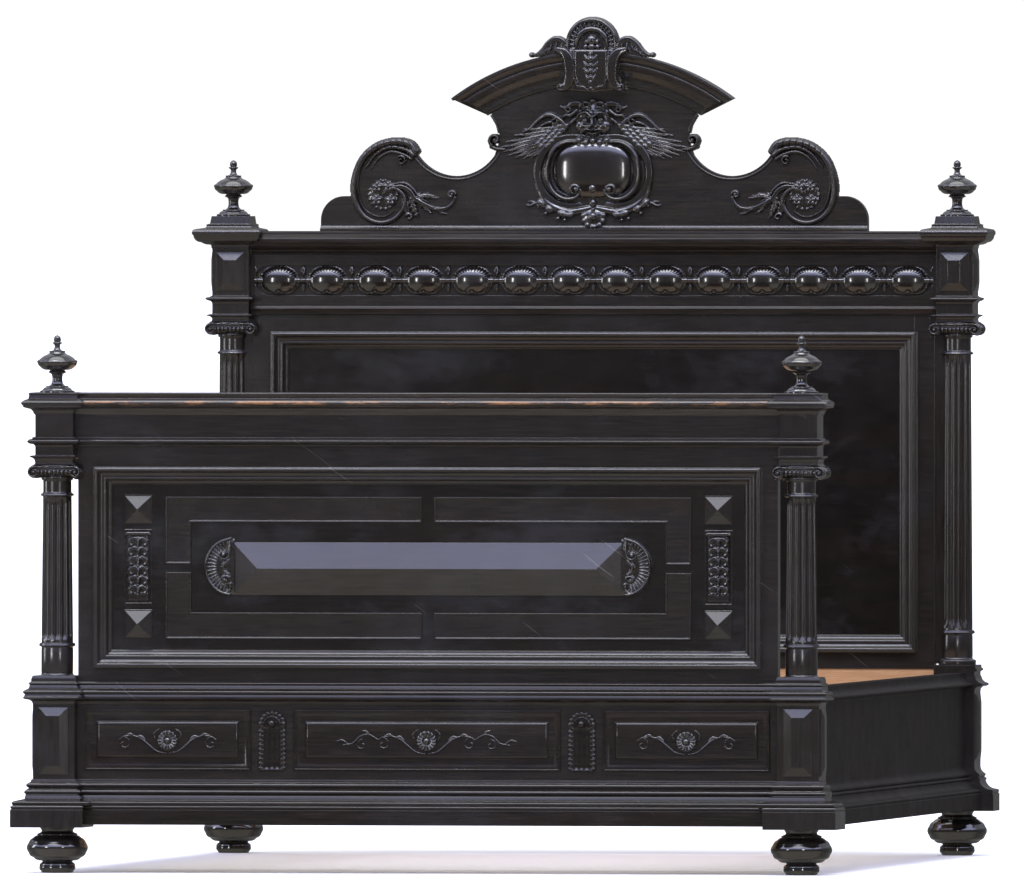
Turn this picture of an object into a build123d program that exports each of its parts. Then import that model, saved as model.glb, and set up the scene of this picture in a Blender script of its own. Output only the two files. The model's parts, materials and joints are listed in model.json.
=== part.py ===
"""A knock-down panelled double bed in a Renaissance revival style, in millimetres.

Frame: the origin is on the floor under the middle of the bed. +X is to the right of someone who
stands at the foot and looks at the headboard, +Y runs from the foot to the head, +Z is up.
"""

import math
import os

from build123d import *

# Driving dimensions
POST_SPREAD = 1570.0  # between the axes of a board's two posts
POST_PITCH = 2100.0  # between the axes of the head posts and the foot posts
POST_HALF = 44.0  # half the width of a post's lower block
NECK_HALF = 39.5  # half the width of a post's upper block
SET_BACK = 22.0  # how far the boards between the posts stand behind the posts' faces
FOOT_HEIGHT = 95.0
FOOT_RADIUS = 62.0
PLINTH_REACH = 41.0  # how far a foot post's plinth stands out from its pedestal
PEDESTAL_TOP = 400.0
RAIL_TOP = 395.0
PANEL_Z_FOOT = (427.0, 846.0)  # outer edges of the moulding round the foot panel
PANEL_Z_HEAD = (433.0, 1118.0)
PANEL_HALF = 704.0  # half the width over that moulding
MOULDING_WIDTH = 38.0
FRAME_THICK = 32.0
PANEL_THICK = 12.0
FIT = 0.5  # gap round a piece that slides or floats in its place
PIN_RADIUS = 4.0
PIN_HEIGHTS = (159.0, 331.0)
SLOT = (13.0, 115.0, 385.0, 30.0)  # width, bottom, top, depth of the hook slot in a post
SLAT_TOP = 240.0
SLAT_COUNT = 12
GADROONS = 14

POST_X = POST_SPREAD / 2
LENGTH = POST_PITCH + FOOT_RADIUS + POST_HALF + PLINTH_REACH
HEAD_Y = LENGTH / 2 - FOOT_RADIUS
FOOT_Y = HEAD_Y - POST_PITCH
BLOCK_GAP = POST_X - POST_HALF  # half the clear width between lower blocks
NECK_GAP = POST_X - NECK_HALF  # half the clear width between upper blocks
BOTH = (-1, 1)
NAMES = {-1: "left", 1: "right"}

os.makedirs("parts", exist_ok=True)


# Shared helpers ------------------------------------------------------------------------------


def keep(piece, name):
    """Labels a finished piece and writes it as one node."""
    piece.label = name
    export_step(piece, f"parts/{name}.step")


def group(pieces):
    """Several separate solids that share one node."""
    return Compound(children=[solid for piece in pieces for solid in piece.solids()])


def edge_run(steps):
    """Edges through (reach, height, bulge) steps, inside a BuildLine.

    The bulge is the arc's rise as a share of its chord: over 0 swells out, under 0 hollows in.
    """
    for (r0, z0, _), (r1, z1, bulge) in zip(steps, steps[1:]):
        if bulge:
            SagittaArc((r0, z0), (r1, z1), -bulge * math.hypot(r1 - r0, z1 - z0))
        else:
            Line((r0, z0), (r1, z1))


def straight_run(points):
    """Straight edges through the points, inside a BuildLine, leaving out repeated points."""
    for start, end in zip(points, points[1:]):
        if math.dist(start, end) > 0.001:
            Line(start, end)


def closed_run(steps, base):
    """A face between the stepped outline and the straight line at reach = base."""
    with BuildLine() as outline:
        edge_run(steps)
        first, last = steps[0], steps[-1]
        straight_run([last[:2], (base, last[1]), (base, first[1]), first[:2]])
    make_face(outline.edges())


def turned(x, y, steps):
    """A turned piece about the upright axis at x, y. Its outline starts and ends on the axis."""
    with BuildPart() as piece:
        with BuildSketch(Plane((x, y, 0), x_dir=(1, 0, 0), z_dir=(0, -1, 0))):
            with BuildLine():
                edge_run(steps)
                Line(steps[-1][:2], steps[0][:2])
            make_face()
        revolve(axis=Axis((x, y, 0), (0, 0, 1)))
    return piece.part


def moulded_post(x, y, half, steps, inner_share=1.0, back=None):
    """A post block whose moulding returns on the front and both sides, with a flat back.

    The steps are (reach beyond half, height, bulge). The side towards the middle of the bed
    reaches inner_share as far.
    """
    side = 1 if x > 0 else -1
    back = half if back is None else back
    outer = [(half + r, z, b) for r, z, b in steps]
    inner = [(half + r * inner_share, z, b) for r, z, b in steps]
    wide = half + PLINTH_REACH + 1
    with BuildPart() as piece:
        with BuildSketch(Plane((x, y, 0), x_dir=(side, 0, 0), z_dir=(0, -side, 0))):
            closed_run(outer, 0)
        extrude(amount=wide, both=True)
        with BuildSketch(Plane((x, y, 0), x_dir=(-side, 0, 0), z_dir=(0, side, 0))):
            closed_run(inner, 0)
        extrude(amount=wide, both=True)
        with BuildSketch(Plane((x, y, 0), x_dir=(0, -1, 0), z_dir=(-1, 0, 0))):
            closed_run(outer, -back)
        extrude(amount=wide, both=True, mode=Mode.INTERSECT)
    return piece.part


def board(x, y, z):
    """A plain board between two x, two y and two z values."""
    with BuildPart() as piece:
        with BuildSketch(Plane.XY.offset(z[0])):
            with Locations(((x[0] + x[1]) / 2, (y[0] + y[1]) / 2)):
                Rectangle(x[1] - x[0], y[1] - y[0])
        extrude(amount=z[1] - z[0])
    return piece.part


def long_moulding(half_length, face_y, back_y, steps):
    """A moulding along X. The steps are (reach in front of face_y, height, bulge)."""
    with BuildPart() as piece:
        with BuildSketch(Plane((0, 0, 0), x_dir=(0, -1, 0), z_dir=(-1, 0, 0))):
            closed_run([(r - face_y, z, b) for r, z, b in steps], -back_y)
        extrude(amount=half_length, both=True)
    return piece.part


def bored(piece, x, y, radius, z0, z1):
    """The piece with an upright round hole between two heights, for a tenon."""
    with BuildPart() as made:
        add(piece)
        with BuildSketch(Plane((x, y, z0))):
            Circle(radius)
        extrude(amount=z1 - z0, mode=Mode.SUBTRACT)
    return made.part


def mitred_frame(face_y, panel_y, half_width, z_range, steps, lap):
    """Four mitred lengths of a moulding round a panel.

    The steps are (height above the frame face, distance in from the outer edge, bulge). The
    outer lap of the width lies on the frame at face_y, and the rest reaches back to panel_y.
    """
    z0, z1 = z_range
    width = steps[-1][1]
    mid_z = (z0 + z1) / 2
    spans = {
        "right": (Vector(half_width, 0, mid_z), Vector(-1, 0, 0), (z1 - z0) / 2),
        "left": (Vector(-half_width, 0, mid_z), Vector(1, 0, 0), (z1 - z0) / 2),
        "top": (Vector(0, 0, z1), Vector(0, 0, -1), half_width),
        "bottom": (Vector(0, 0, z0), Vector(0, 0, 1), half_width),
    }
    lengths = []
    for start, inward, half in spans.values():
        along = inward.cross(Vector(0, -1, 0))
        section = Plane(origin=start, x_dir=(0, -1, 0), z_dir=along)
        sign = 1 if section.y_dir.dot(inward) > 0 else -1
        with BuildPart() as length:
            with BuildSketch(section):
                with BuildLine():
                    outline = [(h - face_y, sign * d, b * sign) for h, d, b in steps]
                    edge_run(outline)
                    straight_run([
                        outline[-1][:2],
                        (-panel_y, sign * width),
                        (-panel_y, sign * lap),
                        (-face_y, sign * lap),
                        outline[0][:2],
                    ])
                make_face()
            extrude(amount=half, both=True)
            corner = Vector(start.X, face_y, start.Z)
            with BuildSketch(Plane(origin=corner, x_dir=along, z_dir=(0, -1, 0))):
                with BuildLine():
                    Polyline(
                        (-half, 0),
                        (half, 0),
                        (half - width, width),
                        (-half + width, width),
                        close=True,
                    )
                make_face()
            extrude(amount=100, both=True, mode=Mode.INTERSECT)
        lengths.append(length.part)
    return group(lengths)


def hipped(x, z, half_x, half_z, foot_y, plate, rise, flat=0.0):
    """A faceted boss on an upright face: a plate with a hipped top that stands out by rise.

    flat is half the width of the level part that is left at the middle.
    """
    run = min(half_x, half_z) - flat
    with BuildPart() as piece:
        for plane, half in (
            (Plane((x, foot_y, z), x_dir=(1, 0, 0), z_dir=(0, 0, 1)), half_x),
            (Plane((x, foot_y, z), x_dir=(0, 0, 1), z_dir=(1, 0, 0)), half_z),
        ):
            out = -1 if plane.y_dir.Y > 0 else 1
            top = half - run
            with BuildSketch(plane):
                with BuildLine():
                    corners = [(-half, 0), (half, 0), (half, out * plate), (top, out * (plate + rise))]
                    if top > 0.01:
                        corners.append((-top, out * (plate + rise)))
                    Polyline(*corners, (-half, out * plate), close=True)
                make_face()
            mode = Mode.INTERSECT if half == half_z and plane.z_dir.X > 0.5 else Mode.ADD
            extrude(amount=max(half_x, half_z), both=True, mode=mode)
    return piece.part


def carved(face_y, shapes, pair=False):
    """A carved ornament's plain body: shapes in X and Z that stand out from an upright face.

    Each shape is (kind, height, numbers). pair repeats them on the other side of the middle.
    """
    with BuildPart() as piece:
        for kind, height, numbers in shapes:
            for side in BOTH if pair else (1,):
                with BuildSketch(Plane((0, face_y, 0), x_dir=(side, 0, 0), z_dir=(0, -side, 0))):
                    if kind == "oval":
                        x, z, across, up, turn = numbers
                        with Locations(Location((x, z, 0), (0, 0, turn))):
                            Ellipse(across, up)
                    elif kind == "ring":
                        x, z, outer, inner = numbers
                        with Locations((x, z)):
                            Circle(outer)
                            Circle(inner, mode=Mode.SUBTRACT)
                    else:
                        with BuildLine() as outline:
                            if kind == "corners":
                                Polyline(*numbers, close=True)
                            else:
                                Spline(*numbers, periodic=True)
                        make_face(outline.edges())
                extrude(amount=side * height)
    return piece.part


# Turned feet, columns, finials ---------------------------------------------------------------

TENON = 12.0
TENON_LENGTH = 30.0
FOOT_STEPS = [
    (0, 0, 0),
    (33, 0, 0),
    (33, 20, 0.28),
    (30, 22, 0),
    (37, 25, 0),
    (FOOT_RADIUS, 52, 0.16),
    (41, 78, 0.18),
    (41, 82, 0),
    (34, 86, -0.2),
    (36, FOOT_HEIGHT, 0),
    (TENON, FOOT_HEIGHT, 0),
    (TENON, FOOT_HEIGHT + TENON_LENGTH, 0),
    (0, FOOT_HEIGHT + TENON_LENGTH, 0),
]
FINIAL_STEPS = [
    (TENON - 2, -TENON_LENGTH, 0),
    (TENON - 2, 0, 0),
    (35, 0, 0),
    (35, 3, 0),
    (22, 12, 0.15),
    (22, 14, 0),
    (12, 16, 0),
    (12, 40, -0.09),
    (17, 42, 0),
    (17, 45, 0.3),
    (20, 47, 0),
    (41.5, 65, 0.12),
    (41.5, 66.5, 0),
    (16, 85, 0.1),
    (16, 88, 0),
    (6.5, 90, 0),
    (6.5, 101, -0.1),
    (9, 102, 0),
    (9, 105, 0.4),
    (6, 106, 0),
    (7, 111, 0.2),
    (2, 119, 0.1),
    (0, 120, 0),
]


def bun_foot(x, y):
    return turned(x, y, FOOT_STEPS)


def finial(x, y, base_z):
    raised = [(r, z + base_z, b) for r, z, b in FINIAL_STEPS]
    return turned(x, y, [(0, base_z - TENON_LENGTH, 0), *raised])


def column(x, y, base, ring_low, ring_high, top):
    """A column with sixteen stopped flutes between two rings, and a tenon at each end."""
    shaft, drum, flutes, flute = 32.5, 33.5, 16, 5.0
    steps = [
        (0, base - TENON_LENGTH, 0),
        (TENON, base - TENON_LENGTH, 0),
        (TENON, base, 0),
        (38, base, 0),
        (38, base + 11, 0.45),
        (35, base + 12, 0),
        (drum, base + 18, -0.2),
        (drum, ring_low - 3, 0),
        (36, ring_low - 2.5, 0),
        (36, ring_low + 2.5, 0.4),
        (shaft, ring_low + 3, 0),
        (shaft, ring_high - 3, 0),
        (34.5, ring_high - 2.5, 0),
        (34.5, ring_high + 2.5, 0.4),
        (31, ring_high + 3, 0),
        (31, top - 6, 0),
        (34, top, -0.2),
        (TENON, top, 0),
        (TENON, top + 20, 0),
        (0, top + 20, 0),
    ]
    low, high = ring_low + 12, ring_high - 12
    with BuildPart() as piece:
        add(turned(x, y, steps))
        with Locations((x, y, (low + high) / 2)):
            with PolarLocations(shaft + 1.2, flutes):
                Cylinder(flute, high - low, mode=Mode.SUBTRACT)
        for end in (low, high):
            with Locations((x, y, end)):
                with PolarLocations(shaft + 1.2, flutes):
                    Sphere(flute, mode=Mode.SUBTRACT)
    return piece.part


def capital(x, y, z, height):
    """An Ionic capital: two bolsters, the cushion between them and the abacus on top."""
    bolster, depth = height * 0.42, 76.0
    reach = 55.0 - bolster
    with BuildPart() as piece:
        with BuildSketch(Plane((x, y, z))):
            Circle(36)
        extrude(amount=height)
        with BuildSketch(Plane((x, y, z + height - 8))):
            Rectangle(2 * reach, depth)
        extrude(amount=8)
        with BuildSketch(Plane((x, y - depth / 2, 0), x_dir=(1, 0, 0), z_dir=(0, 1, 0))) as ends:
            up = 1 if ends.workplanes[0].y_dir.Z > 0 else -1
            with Locations((-reach, up * (z + height - bolster)), (reach, up * (z + height - bolster))):
                Circle(bolster)
        extrude(amount=depth)
        with BuildSketch(Plane((x, y, z + height))):
            Rectangle(2 * NECK_HALF + 2, 2 * NECK_HALF + 2)
        extrude(amount=5)
        with BuildSketch(Plane((x, y, z - 1))):
            Circle(TENON + 0.1)
        extrude(amount=22, mode=Mode.SUBTRACT)
    return piece.part


# Moulding outlines: (reach, height, bulge) ---------------------------------------------------

BASE_STEPS = [
    (PLINTH_REACH, FOOT_HEIGHT, 0),
    (PLINTH_REACH, 132, 0),
    (38, 134, 0),
    (37, 141, 0.4),
    (34, 142, 0),
    (12, 158, -0.16),
    (11, 160, 0),
    (11, 166, 0.4),
    (8, 168, 0),
    (8, 176, 0.4),
    (6, 178, 0),
    (0, 189, -0.1),
]
STRING_STEPS = [
    (0, 351, 0),
    (12, 361, -0.22),
    (15.5, 362.5, 0),
    (15.5, 368, 0.4),
    (13, 369, 0),
    (2, 383, -0.16),
    (2, 390, 0),
]
FRIEZE_STEPS = [
    (0, 887, 0),
    (8, 893, -0.22),
    (10, 894, 0),
    (10, 899, 0.45),
    (5, 900, 0),
    (0, 903, -0.2),
]
ARCHITRAVE_STEPS = [
    (0, 854, 0),
    (1, 857, 0),
    (8, 865, -0.2),
    (9.5, 866, 0),
    (9.5, 869, 0),
    (0, 870, 0),
]
FOOT_CORNICE_STEPS = [
    (0, 954, 0),
    (3, 956, 0),
    (14, 967, -0.2),
    (19, 969, 0),
    (20.5, 975, 0.4),
    (17, 978, 0),
    (6, 988, -0.14),
    (3, 991, 0),
    (3, 1000, 0),
]
HEAD_FRIEZE_STEPS = [
    (0, 1177, 0),
    (8, 1184, -0.2),
    (10.5, 1186, 0),
    (10.5, 1191, 0.45),
    (5, 1192, 0),
    (0, 1195, 0),
]
HEAD_CORNICE_STEPS = [
    (2, 1296, 0),
    (4, 1304, -0.2),
    (20, 1309, 0.1),
    (34.5, 1323, 0.2),
    (32, 1337, 0.3),
    (13, 1340, 0),
    (11, 1347, -0.2),
    (4, 1349, 0),
]
FOOT_CAP = (1000, 954)
HEAD_CAP = 1365.0


def shifted(steps, reach):
    return [(r + reach, z, b) for r, z, b in steps]


# Foot posts ----------------------------------------------------------------------------------


def hook_slot(piece, x, face_y, inward):
    """Cuts the upright slot and the two cross-pin holes of a hook joint into a post block.

    inward is +1 if the post lies on the +Y side of its face, and -1 if it lies on the -Y side.
    """
    width, low, high, depth = SLOT
    pin_y = face_y + inward * 14
    with BuildPart() as made:
        add(piece)
        with BuildSketch(Plane((x, face_y, 0), x_dir=(1, 0, 0), z_dir=(0, inward, 0))) as mouth:
            up = 1 if mouth.workplanes[0].y_dir.Z > 0 else -1
            with Locations((0, up * (low + high) / 2)):
                Rectangle(width, high - low)
        extrude(amount=depth, mode=Mode.SUBTRACT)
        with BuildSketch(Plane((x, 0, 0), x_dir=(0, 1, 0), z_dir=(1, 0, 0))):
            with Locations(*((pin_y, z) for z in PIN_HEIGHTS)):
                Circle(PIN_RADIUS + 0.02)
        extrude(amount=25.1, both=True, mode=Mode.SUBTRACT)
    return made.part


def hook_pins(face_y, inward):
    """The four steel cross pins of one board's two hook slots."""
    pins = []
    for side in BOTH:
        with BuildPart() as pair:
            with BuildSketch(Plane((side * POST_X, 0, 0), x_dir=(0, 1, 0), z_dir=(1, 0, 0))):
                with Locations(*((face_y + inward * 14, z) for z in PIN_HEIGHTS)):
                    Circle(PIN_RADIUS)
            extrude(amount=25, both=True)
        pins.append(pair.part)
    return group(pins)


def facet_bosses(x, y, half, z_range, width, side):
    """The faceted bosses on the front and on the outer side of a block."""
    mid, tall = (z_range[0] + z_range[1]) / 2, (z_range[1] - z_range[0]) / 2
    front = hipped(x, mid, width / 2, tall, y - half, 2, 7, flat=13)
    with BuildPart() as outer:
        add(hipped(0, mid, width / 2, tall, 0, 2, 5, flat=13).rotate(Axis.Z, 90 * side))
    return front, outer.part.moved(Location((x + side * half, y, 0)))


pedestals, feet, columns, capitals, necks, finials = [], [], [], [], [], []
for side in BOTH:
    x, y = side * POST_X, FOOT_Y
    pedestal_steps = [*BASE_STEPS, *STRING_STEPS[:-1], (-2, 384, 0), (-2, PEDESTAL_TOP, 0)]
    pedestal = moulded_post(x, y, POST_HALF, pedestal_steps, inner_share=0.6)
    pedestal = bored(pedestal, x, y, TENON + 0.1, FOOT_HEIGHT - 1, FOOT_HEIGHT + TENON_LENGTH + 1)
    pedestal = bored(pedestal, x, y, TENON + 0.1, PEDESTAL_TOP - TENON_LENGTH - 1, PEDESTAL_TOP + 1)
    pedestal = hook_slot(pedestal, x, y + POST_HALF, -1)
    pedestals.append(pedestal)
    bosses = facet_bosses(x, y, POST_HALF, (205, 345), 62, side)
    keep(group([pedestal, *bosses]), f"footboard_pedestal_{NAMES[side]}")
    feet.append(bun_foot(x, y))
    keep(column(x, y, PEDESTAL_TOP, 475, 788, 823), f"footboard_column_{NAMES[side]}")
    capitals.append(capital(x, y, 823, 26))
    neck_steps = [*ARCHITRAVE_STEPS, *FRIEZE_STEPS, (0, FOOT_CAP[1], 0)]
    neck = moulded_post(x, y, NECK_HALF, neck_steps, inner_share=0.7)
    cap = moulded_post(x, y, NECK_HALF, FOOT_CORNICE_STEPS, inner_share=0.7)
    cap = bored(cap, x, y, TENON - 1.9, FOOT_CAP[0] - TENON_LENGTH - 1, FOOT_CAP[0] + 1)
    necks += [neck, cap]
    keep(group([neck, cap]), f"footboard_entablature_{NAMES[side]}")
    finials.append(finial(x, y, FOOT_CAP[0]))
keep(group(feet), "footboard_feet")
keep(group(capitals), "footboard_capitals")
keep(group(finials), "footboard_finials")
keep(hook_pins(FOOT_Y + POST_HALF, -1), "footboard_hook_pins")


# Boards between the foot posts ---------------------------------------------------------------


def panel_frame(y, gap, z_range, panel_z, lap=9.0):
    """Two stiles, two rails and the groove for the panel that floats in them."""
    front, back = y - FRAME_THICK / 2, y + FRAME_THICK / 2
    open_x = PANEL_HALF - lap
    open_z = (panel_z[0] + lap, panel_z[1] - lap)
    groove = 8.0
    members = [board((side * (gap + open_x) / 2 - (gap - open_x) / 2,
                      side * (gap + open_x) / 2 + (gap - open_x) / 2), (front, back), z_range)
               for side in BOTH]
    members += [board((-open_x, open_x), (front, back), z)
                for z in ((z_range[0], open_z[0]), (open_z[1], z_range[1]))]
    grooved = []
    for member in members:
        with BuildPart() as made:
            add(member)
            with Locations((0, y, (open_z[0] + open_z[1]) / 2)):
                Box(2 * (open_x + groove), PANEL_THICK, open_z[1] - open_z[0] + 2 * groove,
                    mode=Mode.SUBTRACT)
        grooved.append(made.part)
    slack = groove - FIT
    panel = board((-open_x - slack, open_x + slack),
                  (y - PANEL_THICK / 2 + 0.05, y + PANEL_THICK / 2 - 0.05),
                  (open_z[0] - slack, open_z[1] + slack))
    return group(grooved), panel


def notched(frame, y, z):
    """The frame with a notch in each stile's outer edge that clears a capital."""
    pieces = []
    for member in frame.solids():
        with BuildPart() as made:
            add(member)
            with Locations((-POST_X, y, (z[0] + z[1]) / 2), (POST_X, y, (z[0] + z[1]) / 2)):
                Box(2 * 57, 90, z[1] - z[0], mode=Mode.SUBTRACT)
        pieces.append(made.part)
    return group(pieces)


def coped(piece, others):
    """The main solid of a piece that is cut to the shape of the pieces it runs into."""
    with BuildPart() as made:
        add(piece)
        for other in others:
            add(other, mode=Mode.SUBTRACT)
    return max(made.part.solids(), key=lambda solid: solid.volume)


MOULDING_STEPS = [
    (0, 0, 0),
    (11, 0, 0),
    (14, 3, 0.3),
    (14, 9, 0.2),
    (11, 11, 0),
    (5, 20, -0.18),
    (5, 22, 0),
    (2, 27, 0.25),
    (-1, 28, 0),
    (-5, 35, -0.15),
    (-8, MOULDING_WIDTH, 0),
]
frame_front = FOOT_Y - FRAME_THICK / 2
panel_front = FOOT_Y - PANEL_THICK / 2
foot_frame, foot_panel = panel_frame(FOOT_Y, BLOCK_GAP - 3, (390, 887), PANEL_Z_FOOT)
keep(notched(foot_frame, FOOT_Y, (821, 851)), "footboard_frame")
keep(foot_panel, "footboard_panel")
keep(mitred_frame(frame_front, panel_front, PANEL_HALF, PANEL_Z_FOOT, MOULDING_STEPS, 9),
     "footboard_panel_moulding")

string_face = FOOT_Y - POST_HALF + SET_BACK
neck_face = FOOT_Y - NECK_HALF + SET_BACK

NECK_RUN, BLOCK_RUN = NECK_GAP - 0.3, BLOCK_GAP - 0.3
foot_frieze = board((-NECK_RUN, NECK_RUN), (neck_face, FOOT_Y + 14), (887, 954))
keep(coped(foot_frieze, necks), "footboard_frieze")
RAIL_CORNICE_STEPS = [*FOOT_CORNICE_STEPS[:-2], (0, 990, 0)]
keep(group([
    coped(long_moulding(NECK_RUN, neck_face, neck_face, FRIEZE_STEPS), necks),
    coped(long_moulding(NECK_RUN, neck_face, FOOT_Y + 14, RAIL_CORNICE_STEPS), necks),
]), "footboard_cornice")
dado_board = board((-BLOCK_RUN, BLOCK_RUN), (string_face, FOOT_Y + 10), (101, 390))
keep(coped(dado_board, pedestals), "footboard_dado_board")
RAIL_BASE_STEPS = [(r * 0.88, max(z, 101.0), b) for r, z, b in BASE_STEPS]
keep(group([
    coped(long_moulding(BLOCK_RUN, string_face, string_face, RAIL_BASE_STEPS), pedestals),
    coped(long_moulding(BLOCK_RUN, string_face, string_face, STRING_STEPS), pedestals),
]), "footboard_dado_mouldings")

DADO_Z = (214.0, 342.0)
DADO_SPANS = ((-723.0, -371.0), (-282.0, 282.0), (371.0, 723.0))
DADO_STEPS = [(0, 0, 0), (5, 0, 0), (7, 4, 0.3), (7, 7, 0), (3, 9, 0), (3, 12, 0), (1, 16, -0.2)]
fields = []
for low_x, high_x in DADO_SPANS:
    mid_x, half_x = (low_x + high_x) / 2, (high_x - low_x) / 2
    trim = mitred_frame(string_face, string_face, half_x, DADO_Z, DADO_STEPS, 16)
    fields.append(trim.moved(Location((mid_x, 0, 0))))
    with BuildPart() as field:
        with BuildSketch(Plane((mid_x, string_face, 278), x_dir=(1, 0, 0), z_dir=(0, -1, 0))):
            Rectangle(2 * half_x - 58, 74)
        extrude(amount=6, taper=20)
        with BuildSketch(Plane((mid_x, string_face - 6, 278), x_dir=(1, 0, 0), z_dir=(0, -1, 0))):
            Rectangle(2 * half_x - 72, 60)
        extrude(amount=-2.5, mode=Mode.SUBTRACT)
    fields.append(field.part)
keep(group(fields), "footboard_dado_panels")


def rosette(x, z, face_y, radius, petals):
    """A round flower: a disc, petals round its rim and a button in the middle."""
    with BuildPart() as flower:
        with BuildSketch(Plane((x, face_y, z), x_dir=(1, 0, 0), z_dir=(0, -1, 0))):
            Circle(radius * 0.86)
            with PolarLocations(radius * 0.78, petals):
                Circle(radius * 0.22)
        extrude(amount=radius * 0.2)
        with BuildSketch(Plane((x, face_y, z), x_dir=(1, 0, 0), z_dir=(0, -1, 0))):
            Circle(radius * 0.25)
        extrude(amount=radius * 0.36)
    return flower.part


keep(group([rosette((a + b) / 2, 276, string_face - 3.5, 22, 14) for a, b in DADO_SPANS]),
     "footboard_dado_rosettes")
brackets = []
for side in BOTH:
    with BuildPart() as bracket:
        with BuildSketch(Plane((side * 326.5, string_face, 0), x_dir=(1, 0, 0), z_dir=(0, -1, 0))):
            with BuildLine() as outline:
                ThreePointArc((-28, 308), (0, 336), (28, 308))
                Polyline((28, 308), (28, 215), (-28, 215), (-28, 308))
            make_face(outline.edges())
        extrude(amount=13)
        with BuildSketch(Plane((side * 326.5, string_face, 0), x_dir=(1, 0, 0), z_dir=(0, -1, 0))):
            with Locations(*((edge, 222 + 12 * step) for edge in (-29, 29) for step in range(8))):
                Circle(5)
        extrude(amount=9)
        with BuildSketch(Plane((side * 326.5, string_face - 13, 0), x_dir=(1, 0, 0), z_dir=(0, -1, 0))):
            for step in (-12, 0, 12):
                with Locations((step, 258)):
                    SlotOverall(80, 8, rotation=90)
        extrude(amount=-5, mode=Mode.SUBTRACT)
        with Locations((side * 326.5, string_face - 13, 314)):
            Sphere(8)
    brackets.append(bracket.part)
keep(group(brackets), "footboard_dado_brackets")


# Ornament on the foot panel ------------------------------------------------------------------

STRIP_STEPS = [(0, 0, 0), (3, 0, 0), (12, 26, 0), (3, 55, 0)]
PANEL_MID = 635.5
borders = []
for half_x, half_z in ((555, 148.5), (500, 93.5)):
    ring = mitred_frame(panel_front, panel_front, half_x, (PANEL_MID - half_z, PANEL_MID + half_z),
                        STRIP_STEPS, 55)
    if half_x == 555:
        border_ring = ring
strips = []
for strip in border_ring.solids():
    box = strip.bounding_box()
    lies = box.size.X > box.size.Z
    gap = (25, 400, 400) if lies else (1400, 400, 18)
    with BuildPart() as cut:
        add(strip)
        with Locations((0, panel_front, PANEL_MID)):
            Box(*gap, mode=Mode.SUBTRACT)
    strips += cut.part.solids()
keep(group(strips), "footboard_border_strips")
centre_boss = hipped(0, 634, 412, 55, panel_front, 3, 19)
keep(centre_boss, "footboard_centre_boss")
keep(group([hipped(side * 612, z, 28, 28, panel_front, 3, 15) for side in BOTH for z in (518, 757)]),
     "footboard_pyramids")
drop_z = [(z, 15.0) for z in (594, 616, 638, 660, 682)]
keep(carved(panel_front, [
    ("corners", 5, [(592, 581), (632, 581), (632, 703), (592, 703)]),
    ("corners", 9, [(584, 702), (640, 702), (636, 712), (588, 712)]),
    ("corners", 4, [(596, 568), (628, 568), (632, 582), (592, 582)]),
    *(("oval", 9, (612, z, 15, r, 0)) for z, r in drop_z),
], pair=True), "footboard_leaf_drops")
shells = carved(panel_front, [
    ("oval", 12, (438, 634, 25, 52, 0)),
    ("oval", 17, (442, 634, 16, 42, 0)),
    ("ring", 15, (446, 676, 14, 6)),
    ("ring", 15, (446, 592, 13, 6)),
], pair=True)
keep(group([coped(shell, [centre_boss]) for shell in shells.solids()]), "footboard_shells")


# Head posts ----------------------------------------------------------------------------------

blocks, feet, capitals, necks, finials = [], [], [], [], []
BLOCK_TOP = 407.0
for side in BOTH:
    x, y = side * POST_X, HEAD_Y
    block_steps = [*BASE_STEPS, *STRING_STEPS[:-1], (0, 384, 0), (0, 390, 0), (4, 394, -0.2),
                   (5, 399, 0.3), (2, 401, 0), (2, BLOCK_TOP, 0)]
    with BuildPart() as block:
        with BuildSketch(Plane((x, y, 0), x_dir=(side, 0, 0), z_dir=(0, -side, 0))):
            closed_run(shifted(block_steps, POST_HALF), -POST_HALF)
        extrude(amount=POST_HALF, both=True)
    lower = bored(block.part, x, y, TENON + 0.1, FOOT_HEIGHT - 1, FOOT_HEIGHT + TENON_LENGTH + 1)
    lower = bored(lower, x, y, TENON + 0.1, BLOCK_TOP - TENON_LENGTH - 1, BLOCK_TOP + 1)
    lower = hook_slot(lower, x, y - POST_HALF, 1)
    blocks.append(lower)
    boss = facet_bosses(x, y, POST_HALF, (205, 345), 62, side)[1]
    keep(group([lower, boss]), f"headboard_post_block_{NAMES[side]}")
    feet.append(bun_foot(x, y))
    keep(column(x, y, BLOCK_TOP, 477, 1073, 1111), f"headboard_column_{NAMES[side]}")
    capitals.append(capital(x, y, 1111, 27))
    upper_steps = [(0, 1143, 0), (8, 1151, -0.2), (9.5, 1154, 0.3), (0, 1156, 0),
                   *HEAD_FRIEZE_STEPS, (0, 1296, 0)]
    neck = moulded_post(x, y, NECK_HALF, upper_steps, inner_share=0.8)
    cap = moulded_post(x, y, NECK_HALF, [*HEAD_CORNICE_STEPS, (1, HEAD_CAP, 0)], inner_share=0.8)
    cap = bored(cap, x, y, TENON - 1.9, HEAD_CAP - TENON_LENGTH - 1, HEAD_CAP + 1)
    necks += [neck, cap]
    bosses = facet_bosses(x, y, NECK_HALF, (1205, 1288), 61, side)
    keep(group([neck, cap, *bosses]), f"headboard_entablature_{NAMES[side]}")
    finials.append(finial(x, y, HEAD_CAP))
keep(group(feet), "headboard_feet")
keep(group(capitals), "headboard_capitals")
keep(group(finials), "headboard_finials")
keep(hook_pins(HEAD_Y - POST_HALF, 1), "headboard_hook_pins")


# Boards between the head posts ---------------------------------------------------------------

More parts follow.
